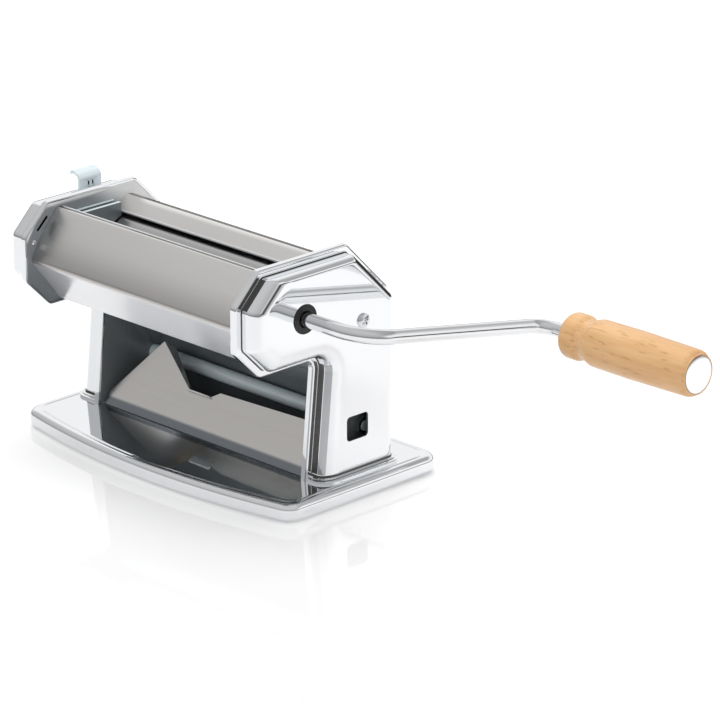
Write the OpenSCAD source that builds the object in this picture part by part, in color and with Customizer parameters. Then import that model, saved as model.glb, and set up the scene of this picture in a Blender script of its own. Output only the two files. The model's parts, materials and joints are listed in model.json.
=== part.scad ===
// Hand-cranked pasta sheeter: two smooth rollers between pressed cheeks on a flat base.
// X runs along the rollers towards the crank, Y from front to back, Z up from the table.

/* [Rollers] */
// Diameter of both rollers
roller_d = 25; // [22:0.5:28]
// Length of the rollers' working face
roller_len = 150; // [120:1:220]
// Gap between the rollers at rest
roller_gap = 1.2; // [1.2:0.1:2]
// Height of both roller axes above the table
axis_z = 105; // [98:1:125]
// Place of the front roller's axis, front to back
front_y = -33; // [-40:1:-26]
// Diameter of the roller journals
journal_d = 12; // [11.5:0.25:13]

/* [Side plates and cheeks] */
// Room at each end of the rollers, up to the side plates
end_room = 5; // [4:0.5:8]
// Thickness of the side plates
plate_t = 2.5; // [1.5:0.25:3]
// Thickness of the pressed sheet
sheet_t = 1.2; // [0.8:0.1:1.5]
// Depth of the cheek's stepped rim
rim_depth = 4; // [3:0.25:5]
// Width of the step between rim and dish
rim_step = 4; // [2.5:0.25:5]
// Depth of the whole cheek, from the side plate's inner face
cheek_depth = 14; // [14:0.25:18]
// Extra depth of the left cheek
left_extra = 5; // [0:0.5:6]
// Rounding of the dish's outer edge
dish_round = 6; // [3:0.5:8]
// Rounding of the cheek's corners
corner_r = 4; // [2:0.5:6]
// Rim above the roller axes
head_above = 29; // [27:0.5:36]
// Rim below the roller axes
head_below = 29; // [27:0.5:34]
// Rim ahead of the front axis
head_ahead = 39.7; // [38:0.1:50]
// Rim behind the rear axis
head_behind = 44.3; // [42:0.1:50]
// Corner cut at the front of the head
front_cut = 16.6; // [12:0.2:18]
// Corner cut at the top rear of the head
rear_cut = 30.5; // [20:0.5:32]
// Front edge of the leg ahead of the rear axis
leg_ahead = 10.2; // [9:0.2:16]
// How much the leg's front edge spreads towards the foot
leg_flare = 6.5; // [0:0.5:12]
// How much the leg's rear edge draws in towards the foot
leg_taper = 0; // [0:0.5:8]
// Width of the lip round the leg's foot
foot_lip = 3.4; // [2:0.2:5]
// Height of the lip round the leg's foot
foot_lip_t = 1.4; // [1:0.1:2]

/* [Base] */
// Height of the base pan
base_h = 10; // [8:0.5:14]
// Base beyond the cheek's outer face
base_side = 11.2; // [9:0.2:20]
// Base ahead of the leg's foot
base_ahead = 31; // [20:1:40]
// Base behind the leg's foot
base_behind = 20.5; // [15:0.5:40]
// Bow of the base's front edge
base_bow = 12.5; // [0:0.5:20]
// Corner radius of the base
base_corner = 10; // [4:1:20]
// Rounding of the base's top edge
base_round = 3.4; // [2:0.2:4]
// Width of the base's rolled edge
base_edge = 5.2; // [4.5:0.1:8]
// Thickness of the plate under the base
base_plate_t = 1.5; // [1:0.1:2.5]

/* [Covers] */
// Thickness of the cover sheets
cover_t = 1; // [0.8:0.1:1.2]
// Top edge of the front cover ahead of the front axis
front_cover_top = 16.5; // [14:0.5:20]
// Nose of the front cover ahead of the front axis
front_cover_nose = 36; // [33:0.5:37]
// Top of the covers above the roller axes
cover_above = 25.2; // [23:0.2:27]
// Bottom of the front cover below the roller axes
cover_below = 26.8; // [24:0.2:28]
// Crest of the rear cover behind the rear axis
rear_crest = 9.8; // [7:0.2:12]
// Lip of the rear cover ahead of the rear axis
rear_cover_lip = 2.2; // [0:0.2:4]
// Clear height of the rear cover's lip over its roller
rear_lip_clear = 2.1; // [2:0.1:4]
// Back of the rear cover behind the rear axis
rear_cover_back = 33.8; // [30:0.2:36]
// Bottom of the rear cover below the roller axes
rear_skirt = 53; // [25:1:54]

/* [Guides and scrapers] */
// Width of the end guides along the rollers
guide_w = 7.4; // [6:0.2:10]
// Top of the end guides above the roller axes
guide_above = 20.5; // [16:0.5:24]
// Width of the groove along the top of the end guides
guide_groove = 3; // [1:0.25:4]
// Height of the end guides
guide_h = 13; // [11:0.5:15]
// End guides ahead of the front axis
guide_ahead = 9; // [7:0.5:10]
// Slope of the scraper blades' reach, in degrees
scraper_lean = 65; // [60:1:75]
// Thickness of the scraper blades
blade_t = 0.8; // [0.5:0.1:1.2]

/* [Gears] */
// Teeth on each gear
gear_teeth = 12; // [11:1:13]
// Width of the gears
gear_w = 4; // [3:0.25:4.5]
// Tooth height outside the pitch circle
gear_tip = 1.8; // [1.4:0.1:1.9]
// Tooth depth inside the pitch circle
gear_root = 3.2; // [3:0.1:3.6]
// Half of a tooth's width at its root, as a share of the tooth pitch
tooth_root = 0.28; // [0.2:0.01:0.29]
// Half of a tooth's width at its tip, as a share of the tooth pitch
tooth_tip = 0.08; // [0.05:0.01:0.09]

/* [Regulator] */
// Throw of the eccentrics that set the gap
throw = 1.1; // [0.6:0.05:1.1]
// Turn of the regulator either way, in degrees
reg_turn = 60; // [45:5:60]
// Number of settings on the dial
settings = 7; // [5:2:9]
// Regulator axis below the rear axis
reg_drop = 17; // [16.5:0.25:18]
// Regulator axis ahead of the rear axis
reg_ahead = 0; // [-1:0.1:1]
// Diameter of the regulator shaft
reg_d = 6; // [5:0.25:7]
// Diameter of the eccentrics
cam_d = 11; // [10:0.25:11.5]
// Height of the lever's bend above its axis
lever_up = 45; // [42:0.5:54]
// Width of the lever
lever_w = 16; // [12:0.5:18]
// Thickness of the lever
lever_t = 1.5; // [1:0.1:2]
// How far the lever's finger tab stands out
tab_out = 5.5; // [4:0.5:10]
// Radius of the ring of dimples on the dial
detent_r = 28; // [26:0.5:30]
// Diameter of the detent pin
detent_d = 3.6; // [2.5:0.1:4]
// Thickness of the dial
dial_t = 1; // [0.8:0.1:1.5]

/* [Crank] */
// Diameter of the crank rod
rod_d = 8; // [7:0.25:8.5]
// Side of the rod's square end
tang = 5.8; // [4.5:0.1:6]
// How deep the square end goes into the roller
tang_len = 25; // [15:1:40]
// Reach of the crank beyond the cheek's outer face
crank_reach = 43.5; // [40:0.5:60]
// Length of the crank's arm
crank_arm = 136; // [110:1:160]
// How far the arm points below level at rest, in degrees
crank_droop = 10.8; // [0:0.2:30]
// Radius of the bend near the cheek
crank_bend = 20; // [15:1:30]
// Radius of the bend near the grip
grip_bend = 11; // [10:0.5:11]
// Straight rod between that bend and the grip
grip_lead = 9; // [1:0.5:12]
// Length of the grip
grip_len = 88; // [75:0.5:130]
// Largest diameter of the grip
grip_d = 26.5; // [24:0.5:34]
// Diameter of the collar at the grip's inner end
collar_d = 25; // [23:0.5:30]
// Diameter of the neck behind the collar
neck_d = 20.5; // [18:0.5:22]
// Diameter of the cap in the grip's outer end
cap_d = 21.5; // [18:0.5:22]
// Outer diameter of the bush round the crank
bush_d = 16; // [14:0.25:18]

/* [Table clamp slot] */
// Width of the slot
slot_w = 15.6; // [12:0.2:16]
// Height of the slot
slot_h = 13.6; // [12:0.2:16]
// Middle of the slot behind the rear axis
slot_behind = 11.6; // [10:0.2:14]
// Middle of the slot above the base
slot_above = 26; // [20:1:32]

/* [Rods and sheets below] */
// Front tie rod ahead of the front axis
front_tie_ahead = 13; // [11:0.5:14]
// Front tie rod below the front axis
front_tie_drop = 17; // [16:0.5:17.5]
// Rear tie rod behind the rear axis
rear_tie_behind = 15.8; // [15.6:0.1:18]
// Rear tie rod below the rear axis
rear_tie_drop = 11; // [11:0.25:13]
// Diameter of the tie rods
tie_d = 8; // [7:0.25:8.5]
// Diameter of the tie rods' ends
tie_end_d = 6; // [5:0.25:6]
// Lower tie rod behind the rear axis
low_tie_behind = 25.3; // [24.8:0.1:27]
// Lower tie rod above the base
low_tie_above = 20.9; // [18:0.1:26]
// Thickness of the slide plate and the apron
low_sheet_t = 1; // [0.8:0.1:1.5]
// Slope of the slide plate, in degrees
slide_slope = 60; // [50:1:70]
// Foot of the slide plate ahead of the rear axis
slide_ahead = 12.7; // [10:0.1:20]
// Height of the slide plate along its slope
slide_h = 28; // [24:0.5:32]
// Height of the ear along the slope
ear_h = 43; // [34:0.5:46]
// Flange under the slide plate and the apron
low_flange = 10; // [6:0.5:12]
// Rear apron behind the rear axis
apron_behind = 30.8; // [30:0.2:36]
// Height of the rear apron
apron_h = 38.5; // [20:0.5:40]

/* [Fits] */
// Radial clearance of turning fits
run_fit = 0.05; // [0.03:0.01:0.09]
// Clearance of sliding fits
slide_fit = 0.1; // [0.08:0.01:0.15]
// Clearance between parts that pass each other
gap = 0.3; // [0.25:0.05:0.4]

/* [Hidden] */
$fn = 64;

roller_r = roller_d / 2;
journal_r = journal_d / 2;
axle_gap = roller_d + roller_gap;
rear_y = front_y + axle_gap;
travel = throw * sin(reg_turn);
inner_x = roller_len / 2 + end_room;
plate_x = inner_x + plate_t;
rim_x = inner_x + rim_depth;
face_x = inner_x + cheek_depth;
skin_x = face_x - sheet_t;
left_face_x = face_x + left_extra;

top_z = axis_z + head_above;
low_z = axis_z - head_below;
nose_y = front_y - head_ahead;
tail_y = rear_y + head_behind;
leg_rear_in = 1;
leg_lap = 12;
leg_front_y = rear_y - leg_ahead;
leg_rear_y = tail_y - leg_rear_in;
foot_front_y = leg_front_y - leg_flare;
foot_rear_y = leg_rear_y - leg_taper;
head_points = [
    [nose_y + front_cut, low_z], [leg_rear_y, low_z], [tail_y, top_z - rear_cut],
    [tail_y - rear_cut, top_z], [nose_y + front_cut, top_z], [nose_y, top_z - front_cut],
    [nose_y, low_z + front_cut]
];

base_x = face_x + base_side;
base_front_y = foot_front_y - base_ahead;
base_rear_y = foot_rear_y + base_behind;
base_skin = sheet_t;
rear_crest_drop = 1.7;

reg_y = rear_y - reg_ahead;
reg_z = axis_z - reg_drop;
front_tie = [front_y - front_tie_ahead, axis_z - front_tie_drop];
rear_tie = [rear_y + rear_tie_behind, axis_z - rear_tie_drop];
low_tie = [rear_y + low_tie_behind, base_h + low_tie_above];
shoulder = 0.5;
nut_t = 3.5;
nut_d = tie_end_d * 1.75;
nut_end_x = plate_x + nut_t + shoulder;

front_bush_d = journal_d + 4;
bush_flange_d = front_bush_d + 4;
bush_end_x = plate_x + nut_t;
block_w = journal_d + 8;
block_h = journal_d + 6;
block_x = plate_x + gap;
fork_t = 3;
fork_x = block_x + fork_t;
fork_wall = 3.5;
gear_x = max(bush_end_x, fork_x) + gap;
gear_end_x = gear_x + gear_w;
clip_t = 0.8;
clip_depth = 0.5;
journal_end_x = gear_end_x + clip_t + 0.4;
pitch_r = axle_gap / 2;
flat_depth = 1.2;

crank_x = face_x + crank_reach;
rod_start_x = journal_end_x + gap;
grip_x = crank_x + grip_bend + grip_lead;
cap_t = 2;
spindle_d = rod_d - 2;
collar_w = 9;
neck_at = 12.5;
body_at = 20;
grip_round = 3;

dial_x = left_face_x + dial_t;
lever_x = dial_x + 1.5;
lever_out_x = lever_x + lever_t;
hub_d = 18;
screw_d = 4;
screw_head_d = 8;
screw_head_t = 2;
shank_d = screw_d - 0.6;
screw_hole = 10;
foot_t = 2;
foot_nut_t = 0.8 * screw_d;
foot_nut_d = 1.9 * screw_d;
foot_in = rim_step + dish_round + gap;
foot_screw_x = (plate_x + skin_x) / 2;
foot_screw_y = [foot_front_y + foot_in + 6, foot_rear_y - foot_in - 6];
cap_x = grip_x + grip_len - cap_t + gap;
cap_socket = cap_t / 2;

function unit(v) = v / norm(v);
function side_of(v) = [-v.y, v.x];

// Points of a round at corner p, between the points a and b, with n steps.
function corner(a, p, b, r, n) =
    let (
        u = unit(a - p),
        w = unit(b - p),
        half = acos(u * w) / 2,
        reach = r / tan(half),
        c = p + unit(u + w) * r / sin(half),
        from = p + u * reach - c,
        to = p + w * reach - c,
        start = atan2(from.y, from.x),
        turn = atan2(from.x * to.y - from.y * to.x, from * to)
    )
    r < 0.01 ? [p] : [for (i = [0:n]) c + r * [cos(start + turn * i / n), sin(start + turn * i / n)]];

// Closed outline with one corner radius for all corners.
function round_poly(pts, r, n = 2) =
    let (m = len(pts))
    [for (i = [0:m - 1]) each corner(pts[(i + m - 1) % m], pts[i], pts[(i + 1) % m], r, n)];

// Open path with a radius for each inner corner.
function round_path(pts, radii, n = 6) =
    let (m = len(pts))
    [
        pts[0],
        for (i = [1:m - 2]) each corner(pts[i - 1], pts[i], pts[i + 1], radii[i - 1], n),
        pts[m - 1]
    ];

// Outline moved inwards by d; the points run counter-clockwise.
function inset(pts, d) =
    let (m = len(pts))
    [
        for (i = [0:m - 1])
            let (
                p = pts[i],
                u = unit(p - pts[(i + m - 1) % m]),
                w = unit(pts[(i + 1) % m] - p),
                n = unit(side_of(u) + side_of(w))
            )
            p + n * d / (n * side_of(u))
    ];

// The same path moved sideways by t, to its left.
function beside(path, t) =
    let (m = len(path))
    [
        for (i = [0:m - 1])
            let (
                u = unit(path[max(i, 1)] - path[max(i, 1) - 1]),
                w = unit(path[min(i, m - 2) + 1] - path[min(i, m - 2)]),
                n = unit(side_of(u) + side_of(w))
            )
            path[i] + n * t / (n * side_of(u))
    ];

// Closed outline of a sheet of thickness t along a path.
function sheet_outline(path, t) =
    let (other = beside(path, t), m = len(path))
    concat(path, [for (i = [m - 1:-1:0]) other[i]]);

// Edges of the leg at height z.
function leg_front_at(z) = leg_front_y - leg_flare * (low_z - z) / (low_z - base_h);
function leg_rear_at(z) = leg_rear_y - leg_taper * (low_z - z) / (low_z - base_h);
function leg_points(d) =
    let (low = base_h - d, high = low_z + leg_lap)
    inset([
        [leg_front_at(low), low], [leg_rear_at(low), low],
        [leg_rear_at(low_z), low_z], [leg_rear_at(low_z), high], [leg_front_at(high), high]
    ], d);

// Outline of the base, drawn in by d.
function base_points(d) =
    let (
        half = base_x - d,
        front = base_front_y + d,
        rear = base_rear_y - d,
        steps = 12,
        bow = [
            for (i = [1:steps - 1])
                let (s = 2 * i / steps - 1)
                [s * half, front - base_bow * (1 - s * s)]
        ],
        left = [-half, front],
        right = [half, front],
        r = base_corner
    )
    concat(
        corner([-half, rear], left, bow[0], r, 3),
        bow_between(bow, half, r),
        corner(bow[steps - 2], right, [half, rear], r, 3),
        corner(right, [half, rear], [-half, rear], r, 3),
        corner([half, rear], [-half, rear], left, r, 3)
    );
function bow_between(bow, half, r) = [for (p = bow) if (abs(p.x) < half - r) p];

// Extrusion along X of an outline given in Y and Z.
module along_x(from, to) {
    translate([from, 0, 0])
        rotate([90, 0, 90])
            linear_extrude(to - from)
                children();
}

module rod_x(from, to, at, d) {
    translate([from, at.x, at.y])
        rotate([0, 90, 0])
            cylinder(h = to - from, d = d);
}

module on_both_sides() {
    children();
    mirror([1, 0, 0])
        children();
}

module cheek_outline(d) {
    polygon(round_poly(inset(head_points, d), corner_r));
    polygon(leg_points(d));
}

// Rounded dish of one outline: steps from the rim to the flat face.
module dish(points, start_x, end_x, r) {
    hull() {
        along_x(start_x, start_x + 0.02)
            polygon(round_poly(points, corner_r));
        for (a = [0, 45, 90])
            along_x(end_x - r * (1 - sin(a)) - 0.02, end_x - r * (1 - sin(a)))
                polygon(round_poly(inset(points, r * (1 - cos(a))), corner_r));
    }
}

module cheek_body(extra) {
    difference() {
        union() {
            along_x(inner_x, rim_x)
                cheek_outline(0);
            dish(inset(head_points, rim_step), rim_x, face_x + extra, dish_round);
            leg_dish(rim_step, rim_x, face_x + extra, dish_round);
            foot_rim(foot_lip + extra, foot_lip, foot_lip_t);
            foot_rim(foot_lip / 2 + extra, foot_lip / 2, foot_lip_t * 2);
        }
        along_x(inner_x - 1, rim_x - sheet_t)
            cheek_outline(sheet_t);
        along_x(rim_x - 2 * sheet_t, face_x + extra - dish_round)
            cheek_outline(rim_step + sheet_t);
        along_x(rim_x - 2 * sheet_t, skin_x + extra)
            cheek_outline(rim_step + dish_round);
        translate([0, nose_y, 0])
            cube([base_x, tail_y - nose_y, base_h]);
        rod_x(skin_x - 1, face_x + extra + 1, rear_tie, screw_d + 2 * gap);
    }
}

module leg_dish(d, start_x, end_x, r) {
    hull() {
        along_x(start_x, start_x + 0.02)
            polygon(leg_points(d));
        for (a = [0, 45, 90])
            along_x(end_x - r * (1 - sin(a)) - 0.02, end_x - r * (1 - sin(a)))
                polygon(leg_points(d + r * (1 - cos(a))));
    }
}

module foot_rim(reach, lip, height) {
    translate([inner_x, foot_front_y - lip + rim_step, base_h])
        cube([cheek_depth + reach, foot_rear_y - foot_front_y + 2 * lip - 2 * rim_step, height]);
}

module right_cheek() {
    slot_y = rear_y + slot_behind;
    slot_z = base_h + slot_above;
    color("gainsboro")
        difference() {
            cheek_body(0);
            rod_x(skin_x - 1, face_x + 1, [front_y, axis_z], bush_d + 2 * run_fit);
            translate([skin_x - 2, slot_y - slot_w / 2, slot_z - slot_h / 2])
                cube([cheek_depth, slot_w, slot_h]);
        }
}

module left_cheek() {
    color("gainsboro")
        mirror([1, 0, 0])
            difference() {
                cheek_body(left_extra);
                rod_x(rim_x, left_face_x + 1, [reg_y, reg_z], reg_d + 2);
            }
}

module side_plate() {
    window_w = block_w + 2 * (travel + gap);
    window_h = block_h + 2 * slide_fit;
    difference() {
        union() {
            along_x(inner_x, plate_x)
                cheek_outline(sheet_t + slide_fit);
            translate([plate_x - shoulder, foot_front_y + foot_in, base_h])
                cube([skin_x - plate_x, foot_rear_y - foot_front_y - 2 * foot_in, foot_t]);
        }
        rod_x(inner_x - 1, plate_x + 1, [front_y, axis_z], front_bush_d + 2 * run_fit);
        rod_x(inner_x - 1, plate_x + 1, [reg_y, reg_z], reg_d + 4 + 2 * run_fit);
        for (at = [front_tie, rear_tie, low_tie])
            rod_x(inner_x - 1, plate_x + 1, at, tie_end_d + 2 * run_fit);
        translate([inner_x - 1, rear_y - window_w / 2, axis_z - window_h / 2])
            cube([plate_t + 2, window_w, window_h]);
        for (y = foot_screw_y)
            translate([foot_screw_x, y, base_h - 1])
                cylinder(h = foot_t + 2, d = screw_d + 2 * run_fit);
    }
}

module left_side_plate() {
    color("silver")
        mirror([1, 0, 0])
            side_plate();
}

module right_side_plate() {
    color("silver")
        side_plate();
}

module base_layer(z, d) {
    translate([0, 0, z])
        linear_extrude(0.02)
            polygon(base_points(d));
}

module base_pan() {
    color("gainsboro")
        difference() {
            hull() {
                base_layer(0, 1.5);
                base_layer(base_h / 4, 0);
                for (a = [0, 45, 90])
                    base_layer(base_h - 0.02 - base_round * (1 - sin(a)), base_round * (1 - cos(a)));
            }
            translate([0, 0, -1])
                linear_extrude(base_h - base_skin + 1)
                    polygon(base_points(base_edge));
            foot_screw_holes(base_h - base_skin - 1, base_h + 1);
        }
}

module foot_screw_holes(from, to) {
    on_both_sides()
        for (y = foot_screw_y)
            translate([foot_screw_x, y, from])
                cylinder(h = to - from, d = screw_d + 2 * run_fit);
}

module base_plate() {
    color("gray")
        linear_extrude(base_plate_t)
            polygon(base_points(base_edge + slide_fit));
}

module front_cover() {
    path = round_path([
        [front_y - front_cover_top + 4.5, axis_z + cover_above - 0.9],
        [front_y - front_cover_top, axis_z + cover_above],
        [front_y - front_cover_top - 0.56 * (front_cover_nose - front_cover_top), axis_z + 0.55 * cover_above],
        [front_y - front_cover_nose, axis_z - 1.5],
        [front_y - front_cover_top + 0.5, axis_z - cover_below],
        [front_y - front_cover_top + 4, axis_z - cover_below]
    ], [2.2, 24, 9, 1.6]);
    color("lightgray")
        along_x(-inner_x + slide_fit, inner_x - slide_fit)
            polygon(sheet_outline(path, cover_t));
}

module rear_cover() {
    lip_z = axis_z + roller_r + rear_lip_clear + cover_t;
    back = rear_cover_back;
    path = round_path([
        [rear_y + back - 5, axis_z - rear_skirt],
        [rear_y + back - 1.5, axis_z - rear_skirt],
        [rear_y + back, axis_z - 2],
        [rear_y + rear_crest, axis_z + cover_above - rear_crest_drop],
        [rear_y - rear_cover_lip, lip_z]
    ], [1.6, 10, 8]);
    color("lightgray")
        along_x(-inner_x + slide_fit, inner_x - slide_fit)
            polygon(sheet_outline(path, cover_t));
}

module end_guide() {
    from = inner_x - guide_w;
    top = axis_z + guide_above;
    wall = (guide_w - guide_groove) / 2;
    front = front_y - guide_ahead;
    groove_t = guide_groove / 2;
    back = rear_y - rear_cover_lip - 1;
    difference() {
        along_x(from, inner_x)
            polygon([[front, top - guide_h], [back, top - guide_h], [back, top], [front, top]]);
        rod_x(from - 1, inner_x + 1, [front_y, axis_z], roller_d + 2 * gap);
        for (move = [-travel, travel])
            rod_x(from - 1, inner_x + 1, [rear_y + move, axis_z], roller_d + 2 * gap);
        translate([from - 1, rear_y - travel, axis_z])
            cube([guide_w + 2, 2 * travel, roller_r + gap]);
        translate([from + wall, front - 1, top - groove_t])
            cube([guide_groove, back - front + 2, 2 * groove_t]);
    }
}

module left_end_guide() {
    color("silver")
        mirror([1, 0, 0])
            end_guide();
}

module right_end_guide() {
    color("silver")
        end_guide();
}

// Flats and grooves near a journal's end, cut for the gear and the circlip.
module clip_groove(from, at) {
    difference() {
        rod_x(from, from + clip_t + 0.1, at, journal_d + 1);
        rod_x(from - 1, from + clip_t + 1, at, journal_d - 2 * clip_depth);
    }
}

module gear_flat(at) {
    translate([gear_x - gap / 2, at.x - journal_d, at.y + journal_r - flat_depth])
        cube([journal_end_x, 2 * journal_d, journal_d]);
}

module roller(at) {
    left_end_x = max(bush_end_x, fork_x) + gap + clip_t + 1.4;
    difference() {
        union() {
            rod_x(-roller_len / 2, roller_len / 2, at, roller_d);
            rod_x(-left_end_x, journal_end_x, at, journal_d);
        }
        gear_flat(at);
        clip_groove(gear_end_x + 0.05, at);
        mirror([1, 0, 0])
            clip_groove(gear_x, at);
    }
}

module front_roller() {
    socket = tang + 2 * slide_fit;
    color("silver")
        difference() {
            roller([front_y, axis_z]);
            in_crank_frame()
                translate([journal_end_x - tang_len, -socket / 2, -socket / 2])
                    cube([tang_len + 1, socket, socket]);
        }
}

module rear_roller() {
    color("silver")
        roller([rear_y, axis_z]);
}

module gear(at, phase) {
    tip_r = pitch_r + gear_tip;
    root_r = pitch_r - gear_root;
    points = [
        for (i = [0:gear_teeth - 1])
            for (corner = [[-tooth_root, root_r], [-tooth_tip, tip_r], [tooth_tip, tip_r], [tooth_root, root_r]])
                let (a = phase + (i + corner.x) * 360 / gear_teeth)
                corner.y * [cos(a), sin(a)]
    ];
    difference() {
        along_x(gear_x, gear_end_x)
            translate(at)
                polygon(points);
        difference() {
            rod_x(gear_x - 1, gear_end_x + 1, at, journal_d + 2 * run_fit);
            translate([gear_x - 2, at.x - journal_d, at.y + journal_r - flat_depth + run_fit])
                cube([gear_w + 4, 2 * journal_d, journal_d]);
        }
    }
}

module drive_gear() {
    color("dimgray")
        gear([front_y, axis_z], 0);
}

module driven_gear() {
    color("dimgray")
        gear([rear_y, axis_z], 180 + 180 / gear_teeth);
}

module circlip(from, at) {
    difference() {
        rod_x(from, from + clip_t, at, journal_d + 3);
        rod_x(from - 1, from + clip_t + 1, at, journal_d - 2 * clip_depth + 2 * run_fit);
        translate([from - 1, at.x - 1.5, at.y])
            cube([clip_t + 2, 3, journal_d]);
    }
}

module circlips(at) {
    color("darkgray") {
        circlip(gear_end_x + 0.1, at);
        mirror([1, 0, 0])
            circlip(gear_x + 0.05, at);
    }
}

module front_circlips() {
    circlips([front_y, axis_z]);
}

module rear_circlips() {
    circlips([rear_y, axis_z]);
}

module front_bush() {
    at = [front_y, axis_z];
    difference() {
        union() {
            rod_x(inner_x, bush_end_x, at, front_bush_d);
            rod_x(plate_x, plate_x + 1.5, at, bush_flange_d);
        }
        rod_x(inner_x - 1, bush_end_x + 1, at, journal_d + 2 * run_fit);
    }
}

module left_front_bush() {
    color("goldenrod")
        mirror([1, 0, 0])
            front_bush();
}

module right_front_bush() {
    color("goldenrod")
        front_bush();
}

// Sliding block in the side plate's window, with a fork round the eccentric.
module rear_bearing() {
    slot = cam_d + 3 * slide_fit;
    fork_w = slot + 2 * fork_wall;
    slot_top = throw + cam_d / 2 + gap;
    difference() {
        union() {
            translate([inner_x + gap, rear_y - block_w / 2, axis_z - block_h / 2])
                cube([plate_t + 1, block_w, block_h]);
            translate([block_x, rear_y - block_w / 2 - 1, axis_z - block_h / 2 - 4])
                cube([fork_t, block_w + 2, block_h + 6]);
            translate([block_x, reg_y - fork_w / 2, reg_z - cam_d / 2 - 0.7])
                cube([fork_t, fork_w, reg_drop - block_h / 2 + cam_d / 2]);
        }
        rod_x(inner_x - 1, fork_x + 1, [rear_y, axis_z], journal_d + 2 * run_fit);
        translate([block_x - 1, reg_y - slot / 2, reg_z - cam_d])
            cube([fork_t + 2, slot, cam_d + slot_top]);
    }
}

module left_rear_bearing() {
    color("goldenrod")
        mirror([1, 0, 0])
            rear_bearing();
}

module right_rear_bearing() {
    color("goldenrod")
        rear_bearing();
}

module regulator_shaft() {
    at = [reg_y, reg_z];
    color("lightsteelblue")
        difference() {
            union() {
                rod_x(-lever_out_x - nut_t - 1, fork_x, at, reg_d);
                on_both_sides()
                    rod_x(block_x, fork_x, [reg_y, reg_z + throw], cam_d);
            }
            translate([-lever_out_x - nut_t - 2, reg_y - reg_d, reg_z + reg_d / 2 - flat_depth])
                cube([lever_out_x - dial_x + nut_t + 2, 2 * reg_d, reg_d]);
        }
}

module regulator_bush() {
    difference() {
        union() {
            rod_x(inner_x, plate_x, [reg_y, reg_z], reg_d + 4);
            rod_x(inner_x - 1.5, inner_x, [reg_y, reg_z], reg_d + 7);
        }
        rod_x(inner_x - 3, plate_x + 1, [reg_y, reg_z], reg_d + 2 * run_fit);
    }
}

module left_regulator_bush() {
    color("goldenrod")
        mirror([1, 0, 0])
            regulator_bush();
}

module right_regulator_bush() {
    color("goldenrod")
        regulator_bush();
}

module regulator_dial() {
    outer = detent_r + 5;
    inner = detent_r - 6;
    span = reg_turn + 10;
    arc = [for (i = [0:12]) 90 - span + 2 * span * i / 12];
    color("lightsteelblue")
        difference() {
            along_x(-dial_x, -left_face_x)
                translate([reg_y, reg_z])
                    polygon(concat(
                        [for (a = arc) outer * [cos(a), sin(a)]],
                        [for (i = [12:-1:0]) inner * [cos(arc[i]), sin(arc[i])]]
                    ));
            for (i = [0:settings - 1])
                let (a = 90 - reg_turn + 2 * reg_turn * i / (settings - 1))
                rod_x(-dial_x - 1, -left_face_x + 1, [reg_y, reg_z] + detent_r * [cos(a), sin(a)], detent_d + 2 * gap);
            rod_x(-dial_x - 1, -left_face_x + 1, rear_tie, screw_head_d + 2 * gap);
        }
}

module regulator_lever() {
    bend_z = reg_z + lever_up;
    path = round_path([
        [-lever_out_x, reg_z],
        [-lever_out_x, bend_z + 0.6],
        [-lever_out_x - tab_out + 1, bend_z + 2.4],
        [-lever_out_x - tab_out, bend_z + 1.2]
    ], [2.2, 0.8]);
    color("lightsteelblue")
        difference() {
            union() {
                rod_x(-lever_out_x, -lever_x, [reg_y, reg_z], hub_d);
                translate([0, reg_y + lever_w / 2, 0])
                    rotate([90, 0, 0])
                        linear_extrude(lever_w)
                            polygon(sheet_outline(path, -lever_t));
            }
            difference() {
                rod_x(-lever_out_x - 1, -lever_x + 1, [reg_y, reg_z], reg_d + 2 * run_fit);
                translate([-lever_out_x - 2, reg_y - reg_d, reg_z + reg_d / 2 - flat_depth + run_fit])
                    cube([lever_t + 4, 2 * reg_d, reg_d]);
            }
            rod_x(-lever_out_x - 1, -lever_x + 1, [reg_y, reg_z + detent_r], detent_d + 2 * run_fit);
        }
}

module detent_pin() {
    at = [reg_y, reg_z + detent_r];
    color("silver") {
        rod_x(-lever_out_x, -dial_x - gap, at, detent_d);
        rod_x(-lever_out_x - 1.2, -lever_out_x, at, detent_d + 2.4);
    }
}

module lever_nut() {
    color("silver")
        difference() {
            rod_x(-lever_out_x - nut_t, -lever_out_x, [reg_y, reg_z], reg_d * 1.7);
            rod_x(-lever_out_x - nut_t - 1, -lever_out_x + 1, [reg_y, reg_z], reg_d + 2 * run_fit);
        }
}

module tie_rod(at, left_x, right_x) {
    rod_x(-inner_x, inner_x, at, tie_d);
    rod_x(-left_x, right_x, at, tie_end_d);
}

module front_tie_rod() {
    color("silver")
        tie_rod(front_tie, nut_end_x, nut_end_x);
}

module rear_tie_rod() {
    color("silver")
        difference() {
            tie_rod(rear_tie, skin_x + left_extra, skin_x);
            rod_x(skin_x - screw_hole, skin_x + 1, rear_tie, shank_d + 2 * run_fit);
            rod_x(-skin_x - left_extra - 1, -skin_x - left_extra + screw_hole, rear_tie, shank_d + 2 * run_fit);
        }
}

module lower_tie_rod() {
    color("lightsteelblue")
        tie_rod(low_tie, nut_end_x, nut_end_x);
}

module hex_nut(at) {
    difference() {
        translate([plate_x, at.x, at.y])
            rotate([0, 90, 0])
                cylinder(h = nut_t, d = nut_d, $fn = 6);
        rod_x(plate_x - 1, plate_x + nut_t + 1, at, tie_end_d + 2 * run_fit);
    }
}

module tie_rod_nuts() {
    color("silver")
        on_both_sides()
            for (at = [front_tie, low_tie])
                hex_nut(at);
}

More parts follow.
